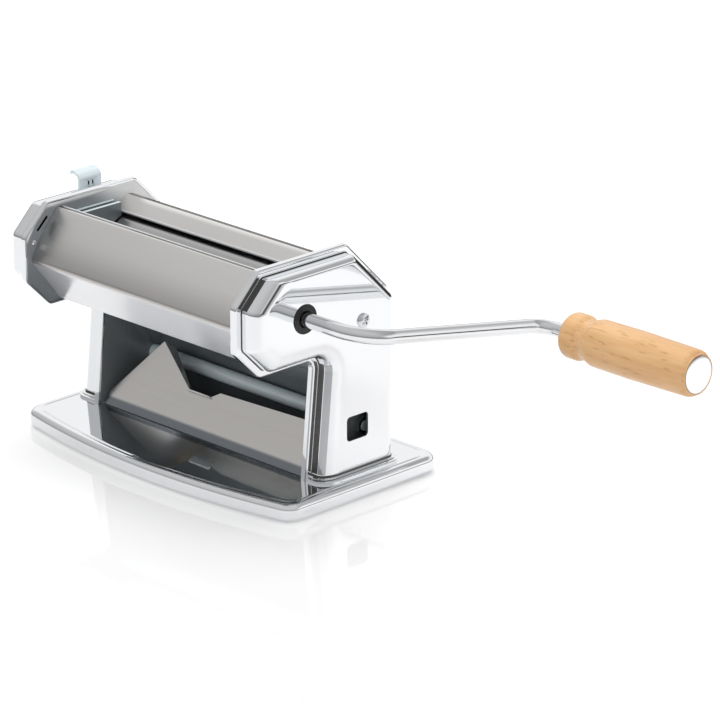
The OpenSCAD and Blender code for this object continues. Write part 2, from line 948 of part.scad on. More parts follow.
module cheek_screw() {
    cross_w = 1.2;
    cross_l = 4.6;
    difference() {
        union() {
            rod_x(skin_x - screw_hole + 1, face_x, rear_tie, shank_d);
            translate([face_x, rear_tie.x, rear_tie.y])
                rotate([0, 90, 0])
                    rotate_extrude()
                        polygon([
                            [0, 0], [screw_head_d / 2, 0], [screw_head_d / 2, 0.7],
                            [screw_head_d / 2 - 1.2, screw_head_t - 0.3], [1.5, screw_head_t], [0, screw_head_t]
                        ]);
        }
        translate([face_x + screw_head_t, rear_tie.x, rear_tie.y])
            for (turn = [0, 90])
                rotate([turn, 0, 0])
                    cube([2.4, cross_l, cross_w], center = true);
    }
}

module cheek_screws() {
    color("silver") {
        cheek_screw();
        translate([-left_extra, 0, 0])
            mirror([1, 0, 0])
                cheek_screw();
    }
}

// Blade held by a ring on its tie rod, reaching for the underside of a roller.
module scraper(rod, axis, reach_r, lean) {
    ring_d = tie_d + 2.4;
    tip = axis + reach_r * [cos(lean), sin(lean)];
    along = unit(tip - rod);
    root = rod + along * (tie_d / 2 + 0.6);
    half = side_of(along) * blade_t / 2;
    wide = roller_len / 2;
    difference() {
        union() {
            rod_x(-wide, wide, rod, ring_d);
            along_x(-wide, wide)
                polygon([root - half, tip - half, tip + half, root + half]);
        }
        rod_x(-wide - 1, wide + 1, rod, tie_d + 2 * run_fit);
    }
}

module front_scraper() {
    color("whitesmoke")
        scraper(front_tie, [front_y, axis_z], roller_r + 2 * gap, scraper_lean - 180);
}

module rear_scraper() {
    color("whitesmoke")
        scraper(rear_tie, [rear_y, axis_z], roller_r + travel + 2 * gap, -scraper_lean);
}

// The points run along the rollers and up the slope, from the plate's foot.
module slide_plate() {
    half = inner_x - end_room / 2;
    ear_x = -0.67 * half;
    side_h = slide_h / 4;
    notch_x = [-0.28 * half, -0.05 * half];
    notch_h = slide_h - 5;
    fold = [ear_h / 5, ear_h / 20];
    lip = 2.5;
    set_in = 0.2 * low_sheet_t;
    edge = [notch_x[0] - ear_x, notch_h - ear_h];
    color("lightgray")
        translate([0, rear_y - slide_ahead, base_h]) {
            rotate([slide_slope, 0, 0]) {
                linear_extrude(low_sheet_t)
                    polygon([
                        [-half, 0], [half, 0], [half, slide_h + 1], [0.02 * half, slide_h - 1.5], [notch_x[1], notch_h],
                        [notch_x[0], notch_h], [ear_x, ear_h], [-half, side_h]
                    ]);
                translate([ear_x, ear_h, low_sheet_t / 2])
                    rotate([90, 0, atan2(edge.y, edge.x)])
                        translate([0, 0, set_in])
                            linear_extrude(low_sheet_t)
                                polygon([[1, 0], [1, -fold[0]], [norm(edge) - 2, -fold[1]], [norm(edge) - 2, 0]]);
                translate([notch_x[0] + 1, notch_h - low_sheet_t - set_in, low_sheet_t / 2])
                    cube([notch_x[1] - notch_x[0] - 2, low_sheet_t, lip]);
            }
            translate([-half, -set_in, 0])
                cube([2 * half, low_flange, low_sheet_t]);
        }
}

module rear_apron() {
    half = inner_x - slide_fit;
    back_y = rear_y + apron_behind;
    color("gray") {
        translate([-half, back_y, base_h])
            cube([2 * half, low_sheet_t, apron_h]);
        translate([-half, back_y - low_flange, base_h])
            cube([2 * half, low_flange + low_sheet_t / 2, low_sheet_t]);
    }
}

module foot_screws() {
    head_t = 0.6 * screw_d;
    head_d = 1.75 * screw_d;
    color("silver")
        on_both_sides()
            for (y = foot_screw_y)
                translate([foot_screw_x, y, base_h - base_skin]) {
                    cylinder(h = base_skin + foot_t + foot_nut_t + 1, d = screw_d);
                    translate([0, 0, -head_t])
                        cylinder(h = head_t, d = head_d);
                }
}

module foot_nuts() {
    color("silver")
        on_both_sides()
            for (y = foot_screw_y)
                translate([foot_screw_x, y, base_h + foot_t])
                    difference() {
                        cylinder(h = foot_nut_t, d = foot_nut_d, $fn = 6);
                        translate([0, 0, -1])
                            cylinder(h = foot_nut_t + 2, d = screw_d + 2 * run_fit);
                    }
}

module crank_bush() {
    at = [front_y, axis_z];
    color("black")
        difference() {
            union() {
                rod_x(skin_x - 0.8, face_x + 0.6, at, bush_d);
                rod_x(skin_x - 0.8, skin_x, at, bush_d + 3);
            }
            rod_x(skin_x - 2, face_x + 2, at, rod_d + 1);
        }
}

// Frame of the crank: X along the front axis, Y along the arm.
module in_crank_frame() {
    translate([0, front_y, axis_z])
        rotate([-crank_droop, 0, 0])
            children();
}

module crank_rod() {
    end_x = cap_x + cap_socket - slide_fit;
    color("gainsboro")
        in_crank_frame() {
            translate([rod_start_x - tang_len + 2 * gap, -tang / 2, -tang / 2])
                cube([tang_len, tang, tang]);
            rod_x(rod_start_x, crank_x - crank_bend, [0, 0], rod_d);
            translate([crank_x - crank_bend, crank_bend, 0])
                rotate([0, 0, -90])
                    bend(crank_bend);
            translate([crank_x, crank_bend, 0])
                rotate([-90, 0, 0])
                    cylinder(h = crank_arm - crank_bend - grip_bend, d = rod_d);
            translate([crank_x + grip_bend, crank_arm - grip_bend, 0])
                rotate([0, 0, 90])
                    bend(grip_bend);
            rod_x(crank_x + grip_bend, end_x - 3, [crank_arm, 0], rod_d);
            rod_x(end_x - 4, end_x, [crank_arm, 0], spindle_d);
        }
}

module bend(r) {
    rotate_extrude(angle = 90)
        translate([r, 0])
            circle(d = rod_d);
}

module in_grip_frame() {
    in_crank_frame()
        translate([grip_x, crank_arm, 0])
            rotate([0, 90, 0])
                children();
}

module grip() {
    bore_r = rod_d / 2 + 2 * run_fit;
    body_r = grip_d / 2;
    end_r = body_r - 0.6;
    outline = concat(
        [[bore_r, 0]],
        round_path([
            [bore_r, 0], [collar_d / 2, 0], [collar_d / 2, collar_w], [neck_d / 2, neck_at],
            [body_r - 0.3, body_at], [body_r, body_at + 25], [end_r, grip_len], [bore_r, grip_len]
        ], [grip_round, grip_round, 2, grip_round, 30, grip_round])
    );
    color("burlywood")
        in_grip_frame()
            difference() {
                rotate_extrude()
                    polygon(outline);
                translate([0, 0, grip_len - cap_t])
                    cylinder(h = cap_t + 1, d = cap_d + 2 * gap);
            }
}

module grip_cap() {
    color("white")
        in_grip_frame()
            translate([0, 0, grip_len - cap_t + gap])
                difference() {
                    rotate_extrude()
                        polygon([
                            [0, 0], [cap_d / 2, 0], [cap_d / 2, cap_t * 0.6], [cap_d / 2 - 1, cap_t], [0, cap_t + 0.3]
                        ]);
                    translate([0, 0, -1])
                        cylinder(h = 1 + cap_socket, d = spindle_d + 2 * run_fit);
                }
}

base_pan();
base_plate();
left_side_plate();
right_side_plate();
left_cheek();
right_cheek();
front_cover();
rear_cover();
left_end_guide();
right_end_guide();
front_roller();
rear_roller();
drive_gear();
driven_gear();
front_circlips();
rear_circlips();
left_front_bush();
right_front_bush();
left_rear_bearing();
right_rear_bearing();
regulator_shaft();
left_regulator_bush();
right_regulator_bush();
regulator_dial();
regulator_lever();
detent_pin();
lever_nut();
front_tie_rod();
rear_tie_rod();
lower_tie_rod();
tie_rod_nuts();
cheek_screws();
front_scraper();
rear_scraper();
slide_plate();
rear_apron();
foot_screws();
foot_nuts();
crank_bush();
crank_rod();
grip();
grip_cap();
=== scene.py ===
import json
import math

import bmesh
import bpy
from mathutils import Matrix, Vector


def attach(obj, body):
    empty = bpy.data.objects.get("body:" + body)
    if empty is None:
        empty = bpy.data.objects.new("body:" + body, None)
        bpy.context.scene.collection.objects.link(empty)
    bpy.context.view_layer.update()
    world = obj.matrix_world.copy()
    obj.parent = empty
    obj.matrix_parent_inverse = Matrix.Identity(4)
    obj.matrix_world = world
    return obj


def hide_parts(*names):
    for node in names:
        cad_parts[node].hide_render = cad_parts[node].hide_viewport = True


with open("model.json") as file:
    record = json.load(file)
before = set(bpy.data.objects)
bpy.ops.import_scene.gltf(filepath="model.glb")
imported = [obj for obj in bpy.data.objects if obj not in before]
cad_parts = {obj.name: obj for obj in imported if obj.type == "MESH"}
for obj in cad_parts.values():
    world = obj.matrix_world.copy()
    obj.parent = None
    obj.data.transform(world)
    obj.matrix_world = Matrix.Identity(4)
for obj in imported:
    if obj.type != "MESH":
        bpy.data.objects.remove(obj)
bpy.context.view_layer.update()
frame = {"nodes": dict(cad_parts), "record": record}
mm = 0.001
sharpFrom = 32            # degrees; a steeper edge stays sharp
mergeGap = 1e-7           # metres; points closer than this become one
noiseSpan = (0.3, 0.7)    # most values of a noise texture lie in here
print("frame loaded:", len(frame["nodes"]), "nodes")


# small helpers for node trees

def newTree(name):
    mat = bpy.data.materials.new(name)
    mat.use_nodes = True
    nodes, links = mat.node_tree.nodes, mat.node_tree.links
    nodes.clear()
    out = nodes.new("ShaderNodeOutputMaterial")
    shader = nodes.new("ShaderNodeBsdfPrincipled")
    links.new(shader.outputs["BSDF"], out.inputs["Surface"])
    return mat, nodes, links, shader


def setOrLink(links, value, socket):
    if isinstance(value, (int, float)):
        socket.default_value = value
    elif isinstance(value, tuple):
        socket.default_value = (*value, 1)
    else:
        links.new(value, socket)


def mathNode(nodes, links, operation, *values):
    node = nodes.new("ShaderNodeMath")
    node.operation = operation
    for value, socket in zip(values, node.inputs):
        setOrLink(links, value, socket)
    return node.outputs[0]


def mixColours(nodes, links, share, one, two):
    node = nodes.new("ShaderNodeMix")
    node.data_type = "RGBA"
    for value, socket in zip((share, one, two), (node.inputs[0], node.inputs[6], node.inputs[7])):
        setOrLink(links, value, socket)
    return node.outputs[2]


def mapRange(nodes, links, value, span, to=(0, 1), smooth=False):
    node = nodes.new("ShaderNodeMapRange")
    node.interpolation_type = "SMOOTHSTEP" if smooth else "LINEAR"
    node.inputs["From Min"].default_value, node.inputs["From Max"].default_value = span
    node.inputs["To Min"].default_value, node.inputs["To Max"].default_value = to
    links.new(value, node.inputs["Value"])
    return node.outputs["Result"]


def objectSpace(nodes, links, scale=(1, 1, 1)):
    coord = nodes.new("ShaderNodeTexCoord")
    mapping = nodes.new("ShaderNodeMapping")
    mapping.inputs["Scale"].default_value = scale
    links.new(coord.outputs["Object"], mapping.inputs["Vector"])
    return mapping.outputs["Vector"]


def noise(nodes, links, vector, scale, detail, rough=0.55):
    tex = nodes.new("ShaderNodeTexNoise")
    tex.inputs["Scale"].default_value = scale
    tex.inputs["Detail"].default_value = detail
    tex.inputs["Roughness"].default_value = rough
    links.new(vector, tex.inputs["Vector"])
    return tex.outputs["Fac"]


def ramp(nodes, links, value, stops):
    node = nodes.new("ShaderNodeValToRGB")
    bar = node.color_ramp.elements
    while len(bar) < len(stops):
        bar.new(0.5)
    for stop, (at, colour) in zip(bar, stops):
        stop.position = at
        stop.color = (*colour, 1)
    links.new(value, node.inputs["Fac"])
    return node.outputs["Color"]


def bumpInto(nodes, links, shader, height, strength, distance):
    node = nodes.new("ShaderNodeBump")
    node.inputs["Strength"].default_value = strength
    node.inputs["Distance"].default_value = distance
    links.new(height, node.inputs["Height"])
    links.new(node.outputs["Normal"], shader.inputs["Normal"])


# the low part of a sheet takes a darker colour, painted shade; the line climbs ahead of one place and
# behind another
fadeSlope = {"ahead": 1.5, "behind": 0.6}


def paintShadeBelow(nodes, links, tint, look):
    coord = nodes.new("ShaderNodeTexCoord")
    parts = nodes.new("ShaderNodeSeparateXYZ")
    links.new(coord.outputs["Object"], parts.inputs[0])
    y, z = parts.outputs["Y"], parts.outputs["Z"]

    def above(past, slope, span):
        past = mathNode(nodes, links, "MAXIMUM", past, 0)
        level = mathNode(nodes, links, "MULTIPLY_ADD", past, slope, z)
        return mapRange(nodes, links, level, [v * mm for v in span], smooth=True)

    ahead = mathNode(nodes, links, "SUBTRACT", look["aheadOf"] * mm, y)
    share = above(ahead, fadeSlope["ahead"], look["belowZ"])
    if "behind" in look:
        past = mathNode(nodes, links, "SUBTRACT", y, look["behind"] * mm)
        rear = above(past, fadeSlope["behind"], look["behindZ"])
        share = mathNode(nodes, links, "MAXIMUM", share, rear)
    return mixColours(nodes, links, share, look["below"], tint)


# metal finishes: a stretched grain over a soft cloud

metalNoise = {"grainDetail": 6, "grainRough": 0.6, "cloudDetail": 3, "darkAt": 0.35, "fullAt": 0.62}


def metalFinish(name, look):
    mat, nodes, links, shader = newTree(name)
    shader.inputs["Metallic"].default_value = look.get("metal", 1)
    m = metalNoise
    grain = noise(nodes, links, objectSpace(nodes, links, look["stretch"]), look["scale"], m["grainDetail"],
                  m["grainRough"])
    cloud = noise(nodes, links, objectSpace(nodes, links), look["cloud"], m["cloudDetail"])
    cloudPart = mathNode(nodes, links, "MULTIPLY", cloud, 1 - look["grainShare"])
    both = mathNode(nodes, links, "MULTIPLY_ADD", grain, look["grainShare"], cloudPart)
    dark = [c * (1 - look["shade"]) for c in look["colour"]]
    tint = ramp(nodes, links, both, [(m["darkAt"], dark), (m["fullAt"], look["colour"])])
    # painted shade: the sheet darkens towards the bottom
    if "below" in look:
        tint = paintShadeBelow(nodes, links, tint, look)
    links.new(tint, shader.inputs["Base Color"])
    links.new(mapRange(nodes, links, both, noiseSpan, look["rough"]), shader.inputs["Roughness"])
    bumpInto(nodes, links, shader, grain, look["bump"], look["depth"])
    return mat


chromeLook = {"colour": (0.87, 0.885, 0.905), "shade": 0.03, "rough": (0.035, 0.055), "scale": 14,
              "stretch": (1, 1, 1), "cloud": 9, "grainShare": 0.3, "bump": 0.02, "depth": 0.0006}
rodLook = {"colour": (0.84, 0.845, 0.86), "shade": 0.04, "rough": (0.04, 0.07), "scale": 30,
           "stretch": (1, 1, 1), "cloud": 20, "grainShare": 0.4, "bump": 0.02, "depth": 0.0003}
capLook = {"colour": (0.92, 0.92, 0.925), "shade": 0.02, "rough": (0.05, 0.08), "scale": 40,
           "stretch": (1, 1, 1), "cloud": 20, "grainShare": 0.4, "bump": 0.02, "depth": 0.0002}
# both covers go darker below this height: painted shade
satinLook = {"colour": (0.86, 0.84, 0.82), "shade": 0.04, "rough": (0.28, 0.35), "scale": 60,
             "stretch": (0.06, 8, 8), "cloud": 12, "grainShare": 0.55, "bump": 0.05, "depth": 0.0001,
             "below": (0.54, 0.52, 0.505), "belowZ": (100, 121), "aheadOf": -200}
# the slide plate goes dark at its bottom near the base: painted shade
slideLook = {"colour": (0.77, 0.745, 0.72), "shade": 0.05, "rough": (0.20, 0.27), "scale": 60,
             "stretch": (0.06, 8, 8), "cloud": 14, "grainShare": 0.5, "bump": 0.05, "depth": 0.0001,
             "below": (0.24, 0.26, 0.28), "belowZ": (13.6, 15.4), "aheadOf": -90}
darkLook = {"colour": (0.26, 0.29, 0.31), "metal": 0.6, "shade": 0.12, "rough": (0.32, 0.42), "scale": 50,
            "stretch": (0.08, 6, 6), "cloud": 12, "grainShare": 0.4, "bump": 0.05, "depth": 0.0001}
# the side plates are dark below the hopper strip and towards the rear: painted shade under the rollers
plateLook = {"colour": (0.96, 0.965, 0.97), "metal": 0.15, "shade": 0.06, "rough": (0.26, 0.34),
             "scale": 60, "stretch": (6, 6, 0.1), "cloud": 14, "grainShare": 0.4, "bump": 0.04,
             "depth": 0.0001, "below": (0.25, 0.27, 0.285), "belowZ": (130, 132.6), "aheadOf": -60,
             "behind": -32, "behindZ": (131, 149)}
rollerLook = {"colour": (0.58, 0.575, 0.57), "shade": 0.05, "rough": (0.22, 0.28), "scale": 40,
              "stretch": (6, 0.2, 0.2), "cloud": 12, "grainShare": 0.5, "bump": 0.02, "depth": 0.0001}
gearLook = {"colour": (0.30, 0.30, 0.31), "shade": 0.25, "rough": (0.35, 0.5), "scale": 220,
            "stretch": (1, 1, 1), "cloud": 30, "grainShare": 0.5, "bump": 0.15, "depth": 0.0001}
bronzeLook = {"colour": (0.66, 0.50, 0.26), "shade": 0.2, "rough": (0.25, 0.4), "scale": 160,
              "stretch": (1, 1, 1), "cloud": 30, "grainShare": 0.5, "bump": 0.1, "depth": 0.0001}
zincLook = {"colour": (0.80, 0.90, 0.93), "metal": 0.2, "shade": 0.06, "rough": (0.26, 0.34), "scale": 60,
            "stretch": (0.3, 1, 1), "cloud": 30, "grainShare": 0.5, "bump": 0.02, "depth": 0.0001}
# near-black chrome for painted dark lines: painted shade in creases, steps and slots, painted reflection on
# chamfers, crests and rims
shadeAndReflectionLook = {"colour": (0.10, 0.097, 0.095), "shade": 0.1, "rough": (0.16, 0.24), "scale": 60,
              "stretch": (1, 1, 1), "cloud": 30, "grainShare": 0.5, "bump": 0.02, "depth": 0.0001}
shadeLook = {"colour": (0.50, 0.51, 0.53), "shade": 0.35, "rough": (0.06, 0.12), "scale": 26,
             "stretch": (1, 1, 0.25), "cloud": 16, "grainShare": 0.6, "bump": 0.04, "depth": 0.0004}
# lit copy of the satin steel: painted reflection on the front cover's low band and painted highlight on the
# hems
paintedLightLook = {"colour": (0.86, 0.865, 0.89), "metal": 0.55, "shade": 0.03, "rough": (0.19, 0.25), "scale": 60,
            "stretch": (0.06, 8, 8), "cloud": 12, "grainShare": 0.5, "bump": 0.03, "depth": 0.0001}
screwLook = {"colour": (0.75, 0.76, 0.78), "shade": 0.08, "rough": (0.14, 0.22), "scale": 200,
             "stretch": (1, 1, 1), "cloud": 60, "grainShare": 0.5, "bump": 0.05, "depth": 0.00005}
mirrorChrome = metalFinish("mirrorChrome", chromeLook)
rodChrome = metalFinish("rodChrome", rodLook)
capChrome = metalFinish("capChrome", capLook)
satinSteel = metalFinish("satinSteel", satinLook)
slideSteel = metalFinish("slideSteel", slideLook)
# dark steel of the apron, also painted shade inside the covers, on the end guides' sides and under the
# slide plate
darkSteelAndShade = metalFinish("darkSteelAndShade", darkLook)
plateSteel = metalFinish("plateSteel", plateLook)
groundSteel = metalFinish("groundSteel", rollerLook)
sinteredSteel = metalFinish("sinteredSteel", gearLook)
bearingBronze = metalFinish("bearingBronze", bronzeLook)
blueZinc = metalFinish("blueZinc", zincLook)
shadeAndReflectionChrome = metalFinish("shadeAndReflectionChrome", shadeAndReflectionLook)
shadeChrome = metalFinish("shadeChrome", shadeLook)
paintedLightSteel = metalFinish("paintedLightSteel", paintedLightLook)
brightScrew = metalFinish("brightScrew", screwLook)


# plastic and wood

scraperLook = {"colour": (0.82, 0.82, 0.80), "rough": (0.44, 0.56), "speck": 0.06}
bushLook = {"colour": (0.010, 0.010, 0.011), "rough": (0.44, 0.56), "speck": 0.3}
plasticGrain = {"scale": 900, "detail": 3, "darkAt": 0.35, "fullAt": 0.65, "bump": 0.08, "depth": 0.0001}


def plasticFinish(name, look):
    mat, nodes, links, shader = newTree(name)
    g = plasticGrain
    fine = noise(nodes, links, objectSpace(nodes, links), g["scale"], g["detail"])
    dark = [c * (1 - look["speck"]) for c in look["colour"]]
    tint = ramp(nodes, links, fine, [(g["darkAt"], dark), (g["fullAt"], look["colour"])])
    links.new(tint, shader.inputs["Base Color"])
    links.new(mapRange(nodes, links, fine, noiseSpan, look["rough"]), shader.inputs["Roughness"])
    bumpInto(nodes, links, shader, fine, g["bump"], g["depth"])
    return mat


palePlastic = plasticFinish("palePlastic", scraperLook)
blackPlastic = plasticFinish("blackPlastic", bushLook)

beechLook = {"pale": (0.85, 0.525, 0.255), "deep": (0.72, 0.40, 0.17), "fleck": (0.54, 0.27, 0.10),
             "lineStretch": (0.07, 1, 1), "lineScale": 420, "lineDetail": 5, "lineRough": 0.6,
             "stretch": (0.16, 1, 1), "broadScale": 70, "broadDetail": 3,
             "fleckScale": 800, "fleckDetail": 1, "fleckRough": 0.3,
             "lineShare": 0.45, "deepAt": 0.36, "paleAt": 0.60,
             "fleckFrom": 0.62, "fleckFull": 0.72, "fleckMost": 0.55, "rough": (0.34, 0.46),
             "coat": 0.25, "coatRough": 0.18, "bump": 0.08, "depth": 0.0002}


def beechFinish():
    mat, nodes, links, shader = newTree("beech")
    b = beechLook
    fine, coarse = objectSpace(nodes, links, b["lineStretch"]), objectSpace(nodes, links, b["stretch"])
    lines = noise(nodes, links, fine, b["lineScale"], b["lineDetail"], b["lineRough"])
    broad = noise(nodes, links, coarse, b["broadScale"], b["broadDetail"])
    dashes = noise(nodes, links, coarse, b["fleckScale"], b["fleckDetail"], b["fleckRough"])
    tone = nodes.new("ShaderNodeMix")
    tone.data_type = "FLOAT"
    tone.inputs[0].default_value = b["lineShare"]
    links.new(broad, tone.inputs[2])
    links.new(lines, tone.inputs[3])
    wood = ramp(nodes, links, tone.outputs[0], [(b["deepAt"], b["deep"]), (b["paleAt"], b["pale"])])
    most = (b["fleckMost"],) * 3
    mask = ramp(nodes, links, dashes, [(b["fleckFrom"], (0, 0, 0)), (b["fleckFull"], most)])
    links.new(mixColours(nodes, links, mask, wood, b["fleck"]), shader.inputs["Base Color"])
    links.new(mapRange(nodes, links, lines, noiseSpan, b["rough"]), shader.inputs["Roughness"])
    shader.inputs["Coat Weight"].default_value = b["coat"]
    shader.inputs["Coat Roughness"].default_value = b["coatRough"]
    bumpInto(nodes, links, shader, lines, b["bump"], b["depth"])
    return mat


beech = beechFinish()
print("finishes ready")


# outlines in the plane, in millimetres

def circle(at, r, steps):
    turns = [2 * math.pi * i / steps for i in range(steps)]
    return [(at[0] + r * math.cos(a), at[1] + r * math.sin(a)) for a in turns]


def cornerArc(a, p, b, r, n):
    if r < 0.01:    # a plain corner
        return [p]
    u = (a - p).normalized()
    w = (b - p).normalized()
    half = math.acos(max(-1, min(1, u.dot(w)))) / 2
    c = p + (u + w).normalized() * (r / math.sin(half))
    reach = r / math.tan(half)
    start = p + u * reach - c
    end = p + w * reach - c
    turn = math.atan2(start.x * end.y - start.y * end.x, start.dot(end))
    first = math.atan2(start.y, start.x)
    angles = [first + turn * i / n for i in range(n + 1)]
    return [c + r * Vector((math.cos(a), math.sin(a))) for a in angles]


def roundLoop(points, radii, n):
    m = len(points)
    return [q for i in range(m)
            for q in cornerArc(points[i - 1], points[i], points[(i + 1) % m], radii[i], n)]


def roundPath(points, radii, n):
    inner = [q for i in range(1, len(points) - 1)
             for q in cornerArc(points[i - 1], points[i], points[i + 1], radii[i - 1], n)]
    return [points[0]] + inner + [points[-1]]


def insetLoop(points, depths):
    m = len(points)
    out = []
    for i, p in enumerate(points):
        u = (p - points[i - 1]).normalized()
        w = (points[(i + 1) % m] - p).normalized()
        one, two = Vector((-u.y, u.x)), Vector((-w.y, w.x))
        det = one.x * two.y - one.y * two.x
        a, b = depths[i - 1], depths[i]
        if abs(det) < 0.05:    # nearly straight on
            out.append(p + (one + two).normalized() * (a + b) / 2)
        else:
            out.append(p + Vector((a * two.y - b * one.y, b * one.x - a * two.x)) / det)
    return out


def besidePath(path, t):
    out = []
    last = len(path) - 1
    for i, p in enumerate(path):
        u = (path[max(i, 1)] - path[max(i, 1) - 1]).normalized()
        w = (path[min(i, last - 1) + 1] - path[min(i, last - 1)]).normalized()
        su = Vector((-u.y, u.x))
        n = (su + Vector((-w.y, w.x))).normalized()
        out.append(p + n * (t / n.dot(su)))
    return out


# meshes

def smoothFaces(mesh, sharp):
    for face in mesh.polygons:
        face.use_smooth = True
    mesh.set_sharp_from_angle(angle=math.radians(sharp))


def pieceFrom(name, bm, material, sharp=sharpFrom):
    mesh = bpy.data.meshes.new(name)
    bm.to_mesh(mesh)
    bm.free()
    mesh.materials.append(material)
    smoothFaces(mesh, sharp)
    obj = bpy.data.objects.new(name, mesh)
    bpy.context.collection.objects.link(obj)
    return obj


def takeEvaluated(obj):
    graph = bpy.context.evaluated_depsgraph_get()
    baked = bpy.data.meshes.new_from_object(obj.evaluated_get(graph))
    obj.modifiers.clear()
    obj.data = baked


def bakeModifiers(obj, sharp=sharpFrom):
    takeEvaluated(obj)
    smoothFaces(obj.data, sharp)


def weighNormals(obj):
    mod = obj.modifiers.new("weigh", "WEIGHTED_NORMAL")
    mod.keep_sharp = True
    mod.weight = 100
    takeEvaluated(obj)
    return obj


def addRing(bm, points):
    return [bm.verts.new(Vector(p) * mm) for p in points]


def joinRings(bm, one, two, closed=True, paint=0):
    m = len(one)
    for i in range(m if closed else m - 1):
        j = (i + 1) % m
        bm.faces.new((one[i], one[j], two[j], two[i])).material_index = paint


def loft(bm, rings, paint=0):
    for one, two in zip(rings, rings[1:]):
        joinRings(bm, one, two, paint=paint)
    bm.faces.new(rings[0])
    bm.faces.new(rings[-1])


def facesOut(bm):
    bmesh.ops.remove_doubles(bm, verts=bm.verts, dist=mergeGap)
    bmesh.ops.recalc_face_normals(bm, faces=bm.faces)
    if bm.calc_volume(signed=True) < 0:
        bmesh.ops.reverse_faces(bm, faces=bm.faces)


def loftPiece(name, outlines, material):
    bm = bmesh.new()
    loft(bm, [addRing(bm, outline) for outline in outlines])
    facesOut(bm)
    return pieceFrom(name, bm, material)


def barAlongX(name, loop, ends, material):
    return loftPiece(name, [[(x, y, z) for y, z in loop] for x in ends], material)


def place(obj, body, slot, *nodes):
    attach(obj, body)
    if nodes:
        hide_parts(*nodes)
    return obj


def cutWith(obj, cutter):
    mod = obj.modifiers.new("cut", "BOOLEAN")
    mod.operation = "DIFFERENCE"
    mod.solver = "EXACT"
    mod.object = cutter
    bakeModifiers(obj)
    bpy.data.objects.remove(cutter, do_unlink=True)


# cheeks: one pressed dish each, lofted through its rim, step, wall and rounded edge
# edgeRound has one reach for each side of the outline, from the nose's lower chamfer round by the leg

cheek = {"innerX": 80, "rimX": 84, "faceX": 94, "leftExtra": 5, "sheet": 1.2, "step": 4, "round": 6,
         "fullness": 3, "corner": 4, "inCorner": 5, "kneeCorner": 12, "arcSteps": 8, "edgeSteps": 24,
         "noseY": -72.7, "tailY": 37.5, "lowZ": 76, "topZ": 134, "frontCut": 16.6, "rearCut": 30.5,
         "legFrontY": -17, "legRearY": 36.5, "flare": 6.5, "footZ": 10, "footGap": (0.03, 0.6),
         "edgeRound": [11, 13, 6, 6, 6, 5.5, 3.6, 13, 13, 11], "faceIn": 0.5, "innerRound": 0.15,
         "rimLip": [(0, 0.35), (0.1, 0.1), (0.35, 0)],
         "rimTurn": [(-1.1, 0), (-0.75, 0.06), (-0.3, 0.32), (-0.06, 0.75), (0, 1.1)],
         "stepTurn": [(0, -1), (0.1, -0.5), (0.4, -0.14), (0.9, 0)]}
cheekHoles = {"bushAt": (-33, 105), "bushD": 16.1, "slotAt": (4.8, 36), "slotSize": (15.6, 13.6),
              "slotR": 2.2, "slotSteps": 8, "regAt": (-6.8, 88), "regD": 8, "steps": 64,
              "rightX": (90, 97), "leftX": (-102, -90)}
# places of the bright chrome, the painted dark lines (painted shade in creases, painted reflection on
# chamfers) and the painted grey shade, then how far a face has to look one way to take another
cheekPaint = {"bright": 0, "paintedDarkLine": 1, "shade": 2, "legFront": -0.6, "legLevel": 0.3, "legZ": (15, 78),
              "shadeZ": 24, "shadeOut": 0.1, "frontChamfer": 0.5, "rearChamfer": 0.26, "rearOut": 0.2}


def cheekLoop(d, footZ, share=0):
    c = cheek
    depths = [d + share * w for w in c["edgeRound"]]
    low = footZ - depths[2]
    fall = (c["lowZ"] - low) / (c["lowZ"] - c["footZ"])
    raw = [(c["noseY"] + c["frontCut"], c["lowZ"]), (c["legFrontY"], c["lowZ"]),
           (c["legFrontY"] - c["flare"] * fall, low), (c["legRearY"], low),
           (c["legRearY"], c["lowZ"]), (c["tailY"], c["topZ"] - c["rearCut"]),
           (c["tailY"] - c["rearCut"], c["topZ"]), (c["noseY"] + c["frontCut"], c["topZ"]),
           (c["noseY"], c["topZ"] - c["frontCut"]), (c["noseY"], c["lowZ"] + c["frontCut"])]
    loop = insetLoop([Vector(p) for p in raw], depths)
    r = c["corner"]
    radii = [r, c["inCorner"] + depths[1], 0, 0, c["kneeCorner"], r, r, r, r, r]
    return roundLoop(loop, radii, c["arcSteps"])


def rise(q):
    return math.sqrt(1 - (1 - q) ** cheek["fullness"])


# painted dark reflection lines of the right cheek, on the front of the leg and both top chamfers, with
# painted grey shade on the leg's rounding
def paintRightCheek(bm):
    p = cheekPaint
    for f in bm.faces:
        n, z = f.normal, f.calc_center_median().z / mm
        onLeg = n.y < p["legFront"] and abs(n.z) < p["legLevel"] and p["legZ"][0] < z < p["legZ"][1]
        if f.material_index == p["shade"]:
            onChamfer = n.y < -p["frontChamfer"] and n.z > p["frontChamfer"]
            f.material_index = p["paintedDarkLine"] if onLeg or onChamfer else p["bright"]
        elif f.material_index == p["bright"]:
            if n.x > p["shadeOut"] and onLeg and z > p["shadeZ"]:
                f.material_index = p["shade"]
            elif n.x > p["rearOut"] and n.y > p["rearChamfer"] and n.z > p["rearChamfer"]:
                f.material_index = p["paintedDarkLine"]


